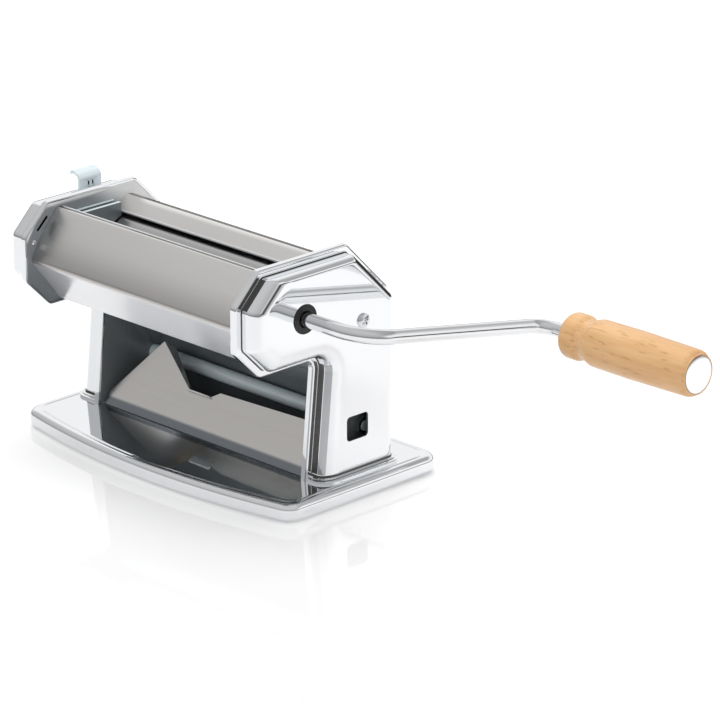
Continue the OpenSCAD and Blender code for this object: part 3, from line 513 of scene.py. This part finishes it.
def makeCheek(name, side, extra):
    c, p = cheek, cheekPaint
    face, t = c["faceX"] + extra, c["sheet"]
    outer = [(c["innerX"] + x, d, 0) for x, d in c["rimLip"]]
    outer += [(c["rimX"] + x, d, 0) for x, d in c["rimTurn"]]
    outer += [(c["rimX"] + x, c["step"] + d, 0) for x, d in c["stepTurn"]]
    wall = len(outer) - 1
    # the step's crease rows take painted shade; on the right cheek the wall is marked for painted shade and
    # sorted in paintRightCheek
    paintOf = {wall - 2: p["paintedDarkLine"], wall - 1: p["paintedDarkLine"]}
    if side > 0:
        paintOf[wall] = p["shade"]
    for i in range(c["edgeSteps"] + 1):
        q = (i / c["edgeSteps"]) ** 2
        outer.append((face - c["round"] * (1 - rise(q)), c["step"], q))
    outer.append((face, c["step"] + c["faceIn"], 1))
    inner = [(face - t, c["step"] + c["faceIn"], 1), (face - t, c["step"], 1),
             (face - c["round"] / 2, c["step"] + t, c["innerRound"]), (face - c["round"], c["step"] + t, 0),
             (c["rimX"] - t, c["step"] + t, 0), (c["rimX"] - t, t, 0), (c["innerX"], t, 0)]
    bm = bmesh.new()
    rings = []
    for rows, gap in zip((outer, inner), c["footGap"]):
        for x, d, share in rows:
            rings.append(addRing(bm, [(side * x, q.x, q.y) for q in cheekLoop(d, c["footZ"] + gap, share)]))
    for k, (one, two) in enumerate(zip(rings, rings[1:])):
        if k != len(outer) - 1:
            joinRings(bm, one, two, paint=paintOf.get(k, p["bright"]))
    joinRings(bm, rings[-1], rings[0])
    bm.faces.new(rings[len(outer) - 1])
    bm.faces.new(rings[len(outer)])
    facesOut(bm)
    if side > 0:
        paintRightCheek(bm)
    obj = pieceFrom(name, bm, mirrorChrome)
    obj.data.materials.append(shadeAndReflectionChrome)
    obj.data.materials.append(shadeChrome)
    return obj


# foot lip: distance out from the leg and height, with the rows painted near-black as shade lines at the
# foot
lip = {"profile": [(-0.6, 14.2), (-0.05, 13.6), (0.1, 12.9), (0.45, 12.35), (1.0, 12.1), (1.5, 12.02),
                   (1.75, 11.85), (1.85, 11.55), (2.3, 11.42), (3.0, 11.38), (3.3, 11.2), (3.4, 10.9),
                   (3.4, 10), (-0.6, 10)],
       "darkRows": (1, 2, 6), "startX": 80.2, "steps": 16}


def addLip(obj, side, extra):
    c = cheek
    front, rear = c["legFrontY"] - c["flare"] + c["step"], c["legRearY"] - c["step"]
    frontRound, rearRound = c["edgeRound"][1], c["edgeRound"][3]
    x = c["faceX"] + extra - c["round"]
    qs = [(i / lip["steps"]) ** 2 for i in range(lip["steps"] + 1)]
    bm = bmesh.new()
    rings = []
    for o, z in lip["profile"]:
        row = [(lip["startX"], front - o)]
        row += [(x + (c["round"] + o) * rise(q), front - o + (frontRound + o) * q) for q in qs]
        row += [(x + (c["round"] + o) * rise(q), rear + o - (rearRound + o) * q) for q in reversed(qs)]
        row.append((lip["startX"], rear + o))
        rings.append(addRing(bm, [(side * a, b, z) for a, b in row]))
    for k, (one, two) in enumerate(zip(rings, rings[1:])):
        paint = cheekPaint["paintedDarkLine" if k in lip["darkRows"] else "bright"]
        joinRings(bm, one, two, closed=False, paint=paint)
    joinRings(bm, rings[-1], rings[0], closed=False)
    bm.faces.new([ring[0] for ring in rings])
    bm.faces.new([ring[-1] for ring in reversed(rings)])
    facesOut(bm)
    lipMesh = bpy.data.meshes.new("footLip")
    bm.to_mesh(lipMesh)
    bm.clear()
    bm.from_mesh(obj.data)
    bm.from_mesh(lipMesh)
    bm.to_mesh(obj.data)
    bm.free()
    bpy.data.meshes.remove(lipMesh)
    smoothFaces(obj.data, sharpFrom)


def roundHole(name, at, d, ends):
    return barAlongX(name, circle(at, d / 2, cheekHoles["steps"]), ends, mirrorChrome)


def clampHole():
    h = cheekHoles
    (y, z), (wide, high) = h["slotAt"], h["slotSize"]
    box = [Vector((y + a * wide / 2, z + b * high / 2)) for a, b in ((-1, -1), (1, -1), (1, 1), (-1, 1))]
    loop = roundLoop(box, [h["slotR"]] * 4, h["slotSteps"])
    return barAlongX("slotCutter", loop, h["rightX"], mirrorChrome)


holes = cheekHoles
rightCheek = makeCheek("rightCheek", 1, 0)
cutWith(rightCheek, roundHole("bushCutter", holes["bushAt"], holes["bushD"], holes["rightX"]))
cutWith(rightCheek, clampHole())
addLip(rightCheek, 1, 0)
place(weighNormals(rightCheek), "root", "chromed_sheet", "right_cheek")
leftCheek = makeCheek("leftCheek", -1, cheek["leftExtra"])
cutWith(leftCheek, roundHole("regulatorCutter", holes["regAt"], holes["regD"], holes["leftX"]))
addLip(leftCheek, -1, cheek["leftExtra"])
place(weighNormals(leftCheek), "root", "chromed_sheet", "left_cheek")
print("cheeks made")


# base: pan with a rolled edge and a pressed bead line inside it

base = {"halfX": 105.2, "frontY": -54.5, "rearY": 57, "bow": 12.5, "bowSteps": 56, "bowShare": 0.88,
        "corner": 10, "cornerSteps": 10, "height": 10, "round": 3.4, "roundSteps": 12,
        "under": [(8.8, 7.2), (8.8, 5.21), (0, 5.2)],
        "heel": [(0, 2.2), (0.08, 1.8), (0.4, 1.35), (1.2, 0.62), (2.2, 0.12), (2.8, 0)],
        "bead": [(0, 0.5), (-0.1, 0.9), (-0.35, 1.5), (-0.1, 2.1), (0, 2.5), (0, 3.2)]}


def baseLoop(d):
    b = base
    half, front, rear = b["halfX"] - d, b["frontY"] + d, b["rearY"] - d
    r, n = b["corner"], b["cornerSteps"]
    left, right = Vector((-half, front)), Vector((half, front))
    backRight, backLeft = Vector((half, rear)), Vector((-half, rear))
    shares = [(2 * i / b["bowSteps"] - 1) * b["bowShare"] for i in range(b["bowSteps"] + 1)]
    bow = [Vector((s * half, front - b["bow"] * (1 - s * s))) for s in shares]
    return (cornerArc(backLeft, left, bow[0], r, n) + bow + cornerArc(bow[-1], right, backRight, r, n)
            + cornerArc(right, backRight, backLeft, r, n) + cornerArc(backRight, backLeft, left, r, n))


def makeBase():
    b = base
    top, g = b["height"], b["round"]
    layers = b["under"] + b["heel"] + [(top - g, 0)]
    for i in range(1, b["roundSteps"] + 1):
        a = math.radians(90 * i / b["roundSteps"])
        layers.append((top - g * (1 - math.sin(a)), g * (1 - math.cos(a))))
    layers += [(top + z, g + d) for z, d in b["bead"]]
    return loftPiece("basePan", [[(p.x, p.y, z) for p in baseLoop(d)] for z, d in layers], mirrorChrome)


place(weighNormals(makeBase()), "root", "chromed_sheet", "base_pan")
print("base made")


# covers: bent sheets with a rolled hem

frontSheet = {"path": [(-45, 129.3), (-49.5, 130.2), (-60.42, 118.86), (-69, 103.5), (-49, 78.2),
                       (-45.5, 78.2)],
              "radii": [2.2, 85, 3.5, 1.6], "sheet": 1, "halfX": 79.9, "hemAt": (-45.3, 128.75),
              "hemR": 0.95, "paintedLightBelow": 102.5, "middle": (-40, 105)}
rearSheet = {"path": [(25.4, 46), (25.5, 52), (27, 103), (3, 128.5), (-9, 120.6)],
             "radii": [1.6, 10, 8], "sheet": 1, "halfX": 79.9, "hemAt": (-8.8, 119.9), "hemR": 0.75,
             "paintedLightBelow": 0, "middle": (0, 95)}
coverShape = {"bendSteps": 20, "endLength": 0.3, "endPull": 0.2, "hemSteps": 24}
# the pale slot is painted light on the low band and hem, inside faces take painted shade, the crest takes a
# painted dark reflection line
coverPaint = {"outer": 0, "pale": 1, "inside": 2, "crest": 3, "crestBack": -0.08, "crestUp": 0.84,
              "facesIn": 0.2}


def makeCover(name, s):
    k, p = coverShape, coverPaint
    path = roundPath([Vector(q) for q in s["path"]], s["radii"], k["bendSteps"])
    loop = path + list(reversed(besidePath(path, s["sheet"])))
    mid = besidePath(path, s["sheet"] / 2)
    mid += list(reversed(mid))
    half, pull = s["halfX"], k["endPull"]
    bm = bmesh.new()
    ends = []
    for x, shrink in ((-half, pull), (-half + k["endLength"], 0), (half - k["endLength"], 0), (half, pull)):
        pulled = [a.lerp(b, shrink) for a, b in zip(loop, mid)]
        ends.append(addRing(bm, [(x, a.x, a.y) for a in pulled]))
    loft(bm, ends)
    # painted light: faces below this height take the lit steel
    for face in bm.faces:
        if face.calc_center_median().z < s["paintedLightBelow"] * mm:
            face.material_index = p["pale"]
    hem = circle(s["hemAt"], s["hemR"], k["hemSteps"])
    loft(bm, [addRing(bm, [(x, y, z) for y, z in hem]) for x in (-half, half)], p["pale"])
    facesOut(bm)
    # inward faces get painted shade; crest faces get a painted dark reflection line
    for face in bm.faces:
        n, at = face.normal, face.calc_center_median()
        inwards = Vector((0, s["middle"][0] * mm - at.y, s["middle"][1] * mm - at.z)).normalized()
        if n.y > p["crestBack"] and n.z > p["crestUp"]:
            face.material_index = p["crest"]
        elif face.material_index == p["outer"] and n.dot(inwards) > p["facesIn"]:
            face.material_index = p["inside"]
    obj = pieceFrom(name, bm, satinSteel)
    for material in (paintedLightSteel, darkSteelAndShade, shadeAndReflectionChrome):
        obj.data.materials.append(material)
    return obj


place(makeCover("frontCover", frontSheet), "root", "satin_sheet", "front_cover")
place(makeCover("rearCover", rearSheet), "root", "satin_sheet", "rear_cover")
print("covers made")


# crank: one bent rod, then the turned grip and its cap

crank = {"axis": (-33, 105), "droop": 10.8, "rodD": 8, "startX": 91.8, "armX": 137.5, "arm": 136,
         "bend": 20, "bendSteps": 24, "gripBend": 11, "gripBendSteps": 16, "endX": 244.7, "edge": 0.5,
         "spindleD": 6, "spindle": 3, "spindleEdge": 0.3, "sides": 48}
tang = {"wide": 5.8, "startX": 67.4, "tipLength": 0.8, "tipShare": 0.85, "intoRod": 0.4}


def fromCrank(x, along, up):
    a = math.radians(-crank["droop"])
    return (x, crank["axis"][0] + along * math.cos(a) - up * math.sin(a),
            crank["axis"][1] + along * math.sin(a) + up * math.cos(a))


def rodSpine():
    c = crank
    r, thin = c["rodD"] / 2, c["spindleD"] / 2
    ahead = (1, 0)
    spine = [((c["startX"], 0), ahead, r - c["edge"]), ((c["startX"] + c["edge"], 0), ahead, r),
             ((c["armX"] - c["bend"], 0), ahead, r)]
    for i in range(1, c["bendSteps"] + 1):
        a = math.radians(90 * i / c["bendSteps"])
        at = (c["armX"] - c["bend"] * (1 - math.sin(a)), c["bend"] * (1 - math.cos(a)))
        spine.append((at, (math.cos(a), math.sin(a)), r))
    for i in range(c["gripBendSteps"] + 1):
        a = math.radians(90 * i / c["gripBendSteps"])
        at = (c["armX"] + c["gripBend"] * (1 - math.cos(a)), c["arm"] - c["gripBend"] * (1 - math.sin(a)))
        spine.append((at, (math.sin(a), math.cos(a)), r))
    shoulder = c["endX"] - c["spindle"]
    for x, k in ((shoulder - c["edge"], r), (shoulder, r - c["edge"]), (shoulder, thin),
                 (c["endX"] - c["spindleEdge"], thin), (c["endX"], thin - c["spindleEdge"])):
        spine.append(((x, c["arm"]), ahead, k))
    return spine


def makeCrank():
    bm = bmesh.new()
    rings = []
    for (x, y), (dx, dy), k in rodSpine():
        ring = circle((0, 0), k, crank["sides"])
        rings.append(addRing(bm, [fromCrank(x - dy * a, y + dx * a, b) for a, b in ring]))
    loft(bm, rings)
    h = tang["wide"] / 2
    square = [(-h, -h), (h, -h), (h, h), (-h, h)]
    rows = ((tang["startX"], tang["tipShare"]), (tang["startX"] + tang["tipLength"], 1),
            (crank["startX"] + tang["intoRod"], 1))
    loft(bm, [addRing(bm, [fromCrank(x, y * share, z * share) for y, z in square]) for x, share in rows])
    facesOut(bm)
    return pieceFrom("crankRod", bm, rodChrome)


gripShape = {"startX": 157.5, "length": 88, "recess": 2, "bore": 4.1, "capR": 11.05, "sides": 96,
             "profile": [(0, 4.1), (0, 12.5), (9, 12.5), (12.5, 10.25), (20, 12.95), (45, 13.25),
                         (88, 12.65), (88, 11.05)],
             "radii": [3, 3, 3.4, 6, 30, 4], "bendSteps": 10}
# darkRows: rim rows of the cap painted near-black, a painted reflection
capShape = {"startX": 243.8, "darkRows": (3, 4, 5),
            "profile": [(0.95, 0.5), (0.95, 3.05), (0, 3.05), (0, 10.75), (1.0, 10.75), (1.5, 10.55),
                        (1.85, 10.0), (2.05, 8), (2.2, 5), (2.3, 0.5)]}


def turned(profile, startX, darkRows=()):
    bm = bmesh.new()
    rings = []
    for along, r in profile:
        ring = circle((crank["arm"], 0), r, gripShape["sides"])
        rings.append(addRing(bm, [fromCrank(startX + along, a, b) for a, b in ring]))
    for k, (one, two) in enumerate(zip(rings, rings[1:])):
        joinRings(bm, one, two, paint=1 if k in darkRows else 0)
    return bm, rings


def makeGrip():
    g = gripShape
    path = roundPath([Vector(p) for p in g["profile"]], g["radii"], g["bendSteps"])
    recessX = g["length"] - g["recess"]
    path += [Vector((recessX, g["capR"])), Vector((recessX, g["bore"]))]
    bm, rings = turned([(p.x, p.y) for p in path], g["startX"])
    joinRings(bm, rings[-1], rings[0])
    facesOut(bm)
    return pieceFrom("turnedGrip", bm, beech)


def makeCap():
    bm, rings = turned(capShape["profile"], capShape["startX"], capShape["darkRows"])
    bm.faces.new(rings[0])
    bm.faces.new(rings[-1])
    facesOut(bm)
    obj = pieceFrom("gripCap", bm, capChrome)
    obj.data.materials.append(shadeAndReflectionChrome)
    return obj


place(makeCrank(), "crank", "chromed_rod", "crank_rod")
grip = place(makeGrip(), "grip", "beech", "grip")
grip.visible_glossy = False    # kept out of the metal's mirror images
place(weighNormals(makeCap()), "crank", "chromed_rod", "grip_cap")
print("crank made")


# screws and rivets: one tree that sets a small head on every point

def headTree(name, material):
    tree = bpy.data.node_groups.new(name, "GeometryNodeTree")
    face = tree.interface
    face.new_socket("Geometry", in_out="INPUT", socket_type="NodeSocketGeometry")
    face.new_socket("Head", in_out="INPUT", socket_type="NodeSocketObject")
    size = face.new_socket("Size", in_out="INPUT", socket_type="NodeSocketFloat")
    size.default_value = 1
    face.new_socket("Geometry", in_out="OUTPUT", socket_type="NodeSocketGeometry")
    nodes, links = tree.nodes, tree.links
    start = nodes.new("NodeGroupInput")
    end = nodes.new("NodeGroupOutput")
    info = nodes.new("GeometryNodeObjectInfo")
    info.transform_space = "ORIGINAL"
    onPoints = nodes.new("GeometryNodeInstanceOnPoints")
    turn = nodes.new("GeometryNodeInputNamedAttribute")
    turn.data_type = "FLOAT_VECTOR"
    turn.inputs["Name"].default_value = "turn"
    toTurn = nodes.new("FunctionNodeEulerToRotation")
    real = nodes.new("GeometryNodeRealizeInstances")
    paint = nodes.new("GeometryNodeSetMaterial")
    paint.inputs["Material"].default_value = material
    links.new(start.outputs["Geometry"], onPoints.inputs["Points"])
    links.new(start.outputs["Head"], info.inputs["Object"])
    links.new(info.outputs["Geometry"], onPoints.inputs["Instance"])
    links.new(turn.outputs["Attribute"], toTurn.inputs["Euler"])
    links.new(toTurn.outputs["Rotation"], onPoints.inputs["Rotation"])
    links.new(start.outputs["Size"], onPoints.inputs["Scale"])
    links.new(onPoints.outputs["Instances"], real.inputs["Geometry"])
    links.new(real.outputs["Geometry"], paint.inputs["Geometry"])
    links.new(paint.outputs["Geometry"], end.inputs["Geometry"])
    return tree


def setHeads(name, tree, head, spots):
    mesh = bpy.data.meshes.new(name)
    mesh.from_pydata([Vector(at) * mm for at, turn in spots], [], [])
    turns = mesh.attributes.new("turn", "FLOAT_VECTOR", "POINT")
    for i, (at, turn) in enumerate(spots):
        turns.data[i].vector = turn
    obj = bpy.data.objects.new(name, mesh)
    bpy.context.collection.objects.link(obj)
    mod = obj.modifiers.new("heads", "NODES")
    mod.node_group = tree
    keys = {item.name: item.identifier for item in tree.interface.items_tree if item.in_out == "INPUT"}
    mod[keys["Head"]] = head
    mod[keys["Size"]] = 1.0
    bakeModifiers(obj)
    for data in [a for a in obj.data.attributes if a.name == "turn"]:
        obj.data.attributes.remove(data)
    bpy.data.objects.remove(head, do_unlink=True)
    return obj


def turnedHead(name, profile, sides):
    rows = [[(x, y, z) for y, z in circle((0, 0), r, sides)] for x, r in profile]
    return loftPiece(name, rows, brightScrew)


# profile as height and radius; each spot is a place and the turn of its head
screw = {"profile": [(-9.8, 0.02), (-9.8, 1.7), (0, 1.7), (0, 3.85), (0.15, 4), (0.55, 4), (0.9, 3.88),
                     (1.3, 3.3), (1.6, 2.7), (1.85, 1.9), (2.0, 0.8), (2.0, 0.02)],
         "sides": 48, "crossW": 1.1, "crossL": 4.8, "crossX": (0.8, 3),
         "spots": [((94, 9, 94), (0.5, 0, 0)), ((-99, 9, 94), (0.2, 0, math.pi))]}
rivet = {"r": 1.6, "height": 0.9, "rise": (0, 15, 30, 45, 60, 75, 88), "sides": 24, "spot": (-66.2, 113.5)}


def screwHead():
    head = turnedHead("screwHead", screw["profile"], screw["sides"])
    long, wide = screw["crossL"] / 2, screw["crossW"] / 2
    quarter = [(long, -wide), (long, wide), (wide, wide)]
    plus = []
    for turn in range(4):
        plus += quarter
        quarter = [(-b, a) for a, b in quarter]
    cutWith(head, barAlongX("cross", plus, screw["crossX"], brightScrew))
    return head


def rivetHead():
    angles = [math.radians(a) for a in rivet["rise"]]
    profile = [(rivet["height"] * math.sin(a), rivet["r"] * math.cos(a)) for a in angles]
    return turnedHead("rivetHead", profile, rivet["sides"])


headSetter = headTree("headSetter", brightScrew)
cheekScrews = setHeads("cheekScrews", headSetter, screwHead(), screw["spots"])
place(cheekScrews, "root", "screw_steel", "cheek_screws")
rivetSpots = [((side * cheek["innerX"], *rivet["spot"]), (0, 0, turn))
              for side, turn in ((-1, 0), (1, math.pi))]
place(setHeads("plateRivets", headSetter, rivetHead(), rivetSpots), "root", "screw_steel")
print("screws and rivets set")


# pieces whose CAD shape is right, with their edges broken

dressing = {"merge": 2e-6, "flatWithin": 0.6, "sharp": 40, "segments": 2}
# short slots whose walls are painted near-black: painted shade in the recess
tabSlot = {"ends": ((-57.2, 125.8), (-63.4, 120)), "width": 1.5, "x": (-84, -79)}
leverMarks = [{"ends": ((y, 128.8), (y, 130.2)), "width": 1.0, "x": (-102, -100)} for y in (-8.2, -5.2)]
slotShape = {"cornerShare": 0.4, "cornerSteps": 6}
guideTop = {"z": 125.2, "facesUp": 0.5}
# painted shade: the slide plate's faces that look down take dark steel
slideUnder = -0.5    # faces that look down more than this are dark


def dressCopy(node, name, material, bevel):
    bm = bmesh.new()
    bm.from_mesh(frame["nodes"][node].data)
    bmesh.ops.remove_doubles(bm, verts=bm.verts, dist=dressing["merge"])
    flat = math.radians(dressing["flatWithin"])
    bmesh.ops.dissolve_limit(bm, angle_limit=flat, verts=bm.verts, edges=bm.edges)
    obj = pieceFrom(name, bm, material, dressing["sharp"])
    if bevel:
        mod = obj.modifiers.new("edge", "BEVEL")
        mod.width = bevel * mm
        mod.segments = dressing["segments"]
        mod.limit_method = "ANGLE"
        mod.angle_limit = math.radians(dressing["sharp"])
        bakeModifiers(obj, dressing["sharp"])
    return weighNormals(obj)


# cuts a short slot whose walls take the target's second material, a near-black painted shade in the recess
def cutSlot(obj, s):
    one, two = [Vector(p) for p in s["ends"]]
    along = (two - one).normalized() * s["width"] / 2
    beside = Vector((-along.y, along.x))
    corners = [one + beside - along, two + beside + along, two - beside + along, one - beside - along]
    loop = roundLoop(corners, [slotShape["cornerShare"] * s["width"]] * 4, slotShape["cornerSteps"])
    cutter = barAlongX("shortSlot", loop, s["x"], mirrorChrome)
    cutter.data.materials.append(shadeAndReflectionChrome)
    for face in cutter.data.polygons:
        face.material_index = 1
    cutWith(obj, cutter)


for node, name, body, slot, material, edge in (
        ("left_end_guide", "leftEndGuide", "root", "plate_steel", blueZinc, 0.35),
        ("right_end_guide", "rightEndGuide", "root", "plate_steel", blueZinc, 0.35),
        ("slide_plate", "slidePlate", "root", "satin_sheet", slideSteel, 0),
        ("rear_apron", "rearApron", "root", "dark_sheet", darkSteelAndShade, 0.2),
        ("left_side_plate", "leftSidePlate", "root", "plate_steel", plateSteel, 0.2),
        ("right_side_plate", "rightSidePlate", "root", "plate_steel", plateSteel, 0.2),
        ("lower_tie_rod", "lowerTieRod", "root", "zinc", blueZinc, 0.25),
        ("front_tie_rod", "frontTieRod", "root", "zinc", blueZinc, 0.25),
        ("rear_tie_rod", "rearTieRod", "root", "zinc", blueZinc, 0.25),
        ("front_roller", "frontRoller", "front_roller", "roller_steel", groundSteel, 0.3),
        ("rear_roller", "rearRoller", "rear_roller", "roller_steel", groundSteel, 0.3),
        ("regulator_lever", "regulatorLever", "regulator", "zinc", blueZinc, 0.3),
        ("regulator_dial", "regulatorDial", "root", "zinc", blueZinc, 0.15),
        ("lever_nut", "leverNut", "regulator", "screw_steel", brightScrew, 0.3),
        ("detent_pin", "detentPin", "regulator", "screw_steel", brightScrew, 0.25),
        ("crank_bush", "crankBush", "root", "black_plastic", blackPlastic, 0.3)):
    dressed = place(dressCopy(node, name, material, edge), body, slot, node)
    slots = {"left_side_plate": [tabSlot], "regulator_lever": leverMarks}.get(node, [])
    if slots:
        dressed.data.materials.append(shadeAndReflectionChrome)
    for short in slots:
        cutSlot(dressed, short)
    # end guides: top faces keep the zinc, sides and the groove take dark steel as painted shade
    if node.endswith("end_guide"):
        dressed.data.materials.append(darkSteelAndShade)
        for face in dressed.data.polygons:
            onTop = face.normal.z > guideTop["facesUp"] and face.center.z > guideTop["z"] * mm
            face.material_index = 0 if onTop else 1
    # painted shade under the slide plate
    if node == "slide_plate":
        dressed.data.materials.append(darkSteelAndShade)
        for face in dressed.data.polygons:
            face.material_index = 1 if face.normal.z < slideUnder else 0
print("edges broken")

# finishes of the nodes that stay as they are
finishOf = {"chromed_sheet": mirrorChrome, "satin_sheet": satinSteel, "dark_sheet": darkSteelAndShade,
            "plate_steel": plateSteel, "roller_steel": groundSteel, "gear_steel": sinteredSteel,
            "bronze": bearingBronze, "zinc": blueZinc, "screw_steel": brightScrew,
            "scraper_plastic": palePlastic, "black_plastic": blackPlastic, "chromed_rod": rodChrome,
            "beech": beech}
slotOf = {row["node"]: row["material_slot"] for row in frame["record"]["subparts"]}
for node, obj in frame["nodes"].items():
    if node in slotOf:
        obj.data.materials.clear()
        obj.data.materials.append(finishOf[slotOf[node]])
print("node finishes set")


# studio: pale floor, soft lamps, room that the metal mirrors

# seen in mirror images the floor glows near the machine, a painted light, and goes dark far off, a painted
# dark reflection
floorLook = {"size": 8, "drop": 0.0002, "colour": 0.80, "rough": 0.05, "ior": 1.7, "lift": 0.24,
             "mirrored": 0.20, "far": (0.65, 0.95), "farColour": 0.05}


def makeFloor():
    f = floorLook
    bm = bmesh.new()
    bmesh.ops.create_grid(bm, x_segments=1, y_segments=1, size=f["size"])
    bmesh.ops.translate(bm, verts=bm.verts, vec=(0, 0, -f["drop"]))
    mat, nodes, links, shader = newTree("paleFloor")
    shader.inputs["Roughness"].default_value = f["rough"]
    shader.inputs["IOR"].default_value = f["ior"]
    path = nodes.new("ShaderNodeLightPath")
    inMirror = path.outputs["Is Glossy Ray"]
    away = nodes.new("ShaderNodeVectorMath")
    away.operation = "LENGTH"
    links.new(objectSpace(nodes, links), away.inputs[0])
    far = mapRange(nodes, links, away.outputs["Value"], f["far"])
    # painted dark reflection: far floor dark in mirror images
    dim = mathNode(nodes, links, "MULTIPLY", far, inMirror)
    tint = mixColours(nodes, links, dim, (f["colour"],) * 3, (f["farColour"],) * 3)
    links.new(tint, shader.inputs["Base Color"])
    seen, through = path.outputs["Is Camera Ray"], path.outputs["Is Transmission Ray"]
    direct = mathNode(nodes, links, "MAXIMUM", seen, through)
    lifted = mathNode(nodes, links, "MULTIPLY", direct, f["lift"])
    # painted light: near floor glows in mirror images
    mirrored = mathNode(nodes, links, "MULTIPLY", inMirror, f["mirrored"])
    nearOnly = mathNode(nodes, links, "MULTIPLY", mirrored, mathNode(nodes, links, "SUBTRACT", 1, far))
    shader.inputs["Emission Color"].default_value = (1, 1, 1, 1)
    links.new(mathNode(nodes, links, "ADD", lifted, nearOnly), shader.inputs["Emission Strength"])
    floor = pieceFrom("floor", bm, mat)


# greys by height: ahead of the machine, behind it on the left, behind it elsewhere
roomLook = {"light": 0.62, "ahead": [(0.0, 0.30), (0.35, 0.52), (0.8, 0.62)],
            "leftBehind": [(0.05, 0.04), (0.10, 1.0)],
            "behind": [(0.05, 0.04), (0.10, 1.0), (0.38, 1.0), (0.6, 0.38), (0.9, 0.50)],
            "aheadToBehind": (0.0, 0.45), "leftToRight": (-0.55, -0.15)}


def makeRoom():
    world = bpy.data.worlds.new("room")
    bpy.context.scene.world = world
    world.use_nodes = True
    nodes, links = world.node_tree.nodes, world.node_tree.links
    nodes.clear()
    out = nodes.new("ShaderNodeOutputWorld")
    coord = nodes.new("ShaderNodeTexCoord")
    parts = nodes.new("ShaderNodeSeparateXYZ")
    links.new(coord.outputs["Generated"], parts.inputs[0])

    def greys(key):
        return ramp(nodes, links, parts.outputs["Z"], [(at, (g,) * 3) for at, g in roomLook[key]])

    toRight = mapRange(nodes, links, parts.outputs["X"], roomLook["leftToRight"], smooth=True)
    toBack = mapRange(nodes, links, parts.outputs["Y"], roomLook["aheadToBehind"], smooth=True)
    back = mixColours(nodes, links, toRight, greys("leftBehind"), greys("behind"))
    path = nodes.new("ShaderNodeLightPath")
    white = nodes.new("ShaderNodeBackground")
    white.inputs["Color"].default_value = (1, 1, 1, 1)
    mirrored = nodes.new("ShaderNodeBackground")
    links.new(mixColours(nodes, links, toBack, greys("ahead"), back), mirrored.inputs["Color"])
    lit = nodes.new("ShaderNodeBackground")
    lit.inputs["Color"].default_value = (*[roomLook["light"]] * 3, 1)
    pickGloss = nodes.new("ShaderNodeMixShader")
    links.new(path.outputs["Is Glossy Ray"], pickGloss.inputs[0])
    links.new(lit.outputs[0], pickGloss.inputs[1])
    links.new(mirrored.outputs[0], pickGloss.inputs[2])
    seen, through = path.outputs["Is Camera Ray"], path.outputs["Is Transmission Ray"]
    direct = mathNode(nodes, links, "MAXIMUM", seen, through)
    pickSeen = nodes.new("ShaderNodeMixShader")
    links.new(direct, pickSeen.inputs[0])
    links.new(pickGloss.outputs[0], pickSeen.inputs[1])
    links.new(white.outputs[0], pickSeen.inputs[2])
    links.new(pickSeen.outputs[0], out.inputs["Surface"])


lamps = {"overhead": {"at": (-0.3, 0.2, 1.6), "aim": (0.03, 0, 0.05), "size": (1.4, 1.0), "power": 14},
         "rightFill": {"at": (1.5, 0.9, 1.2), "aim": (0.05, 0, 0.08), "size": (0.8, 0.8), "power": 5},
         "frontFill": {"at": (0.3, -1.5, 0.4), "aim": (0, 0, 0.05), "size": (0.9, 0.5), "power": 4}}
view = {"at": (1.5585, -1.4475, 0.8157), "aim": (0, 0.100, 0.025), "lens": 210, "sensor": 36, "clipEnd": 50}


def aimed(name, data, s):
    obj = bpy.data.objects.new(name, data)
    obj.location = s["at"]
    obj.rotation_euler = (Vector(s["aim"]) - Vector(s["at"])).to_track_quat("-Z", "Y").to_euler()
    bpy.context.collection.objects.link(obj)
    return obj


def makeLamp(name, s):
    lamp = bpy.data.lights.new(name, "AREA")
    lamp.shape = "RECTANGLE"
    lamp.size, lamp.size_y = s["size"]
    lamp.energy = s["power"]
    aimed(name, lamp, s).visible_glossy = False


def makeCamera():
    cam = bpy.data.cameras.new("camera")
    cam.lens = view["lens"]
    cam.sensor_width = view["sensor"]
    cam.clip_end = view["clipEnd"]
    bpy.context.scene.camera = aimed("camera", cam, view)


makeFloor()
makeRoom()
for name, settings in lamps.items():
    makeLamp(name, settings)
makeCamera()
bpy.context.scene.view_settings.view_transform = "Standard"
print("studio ready")
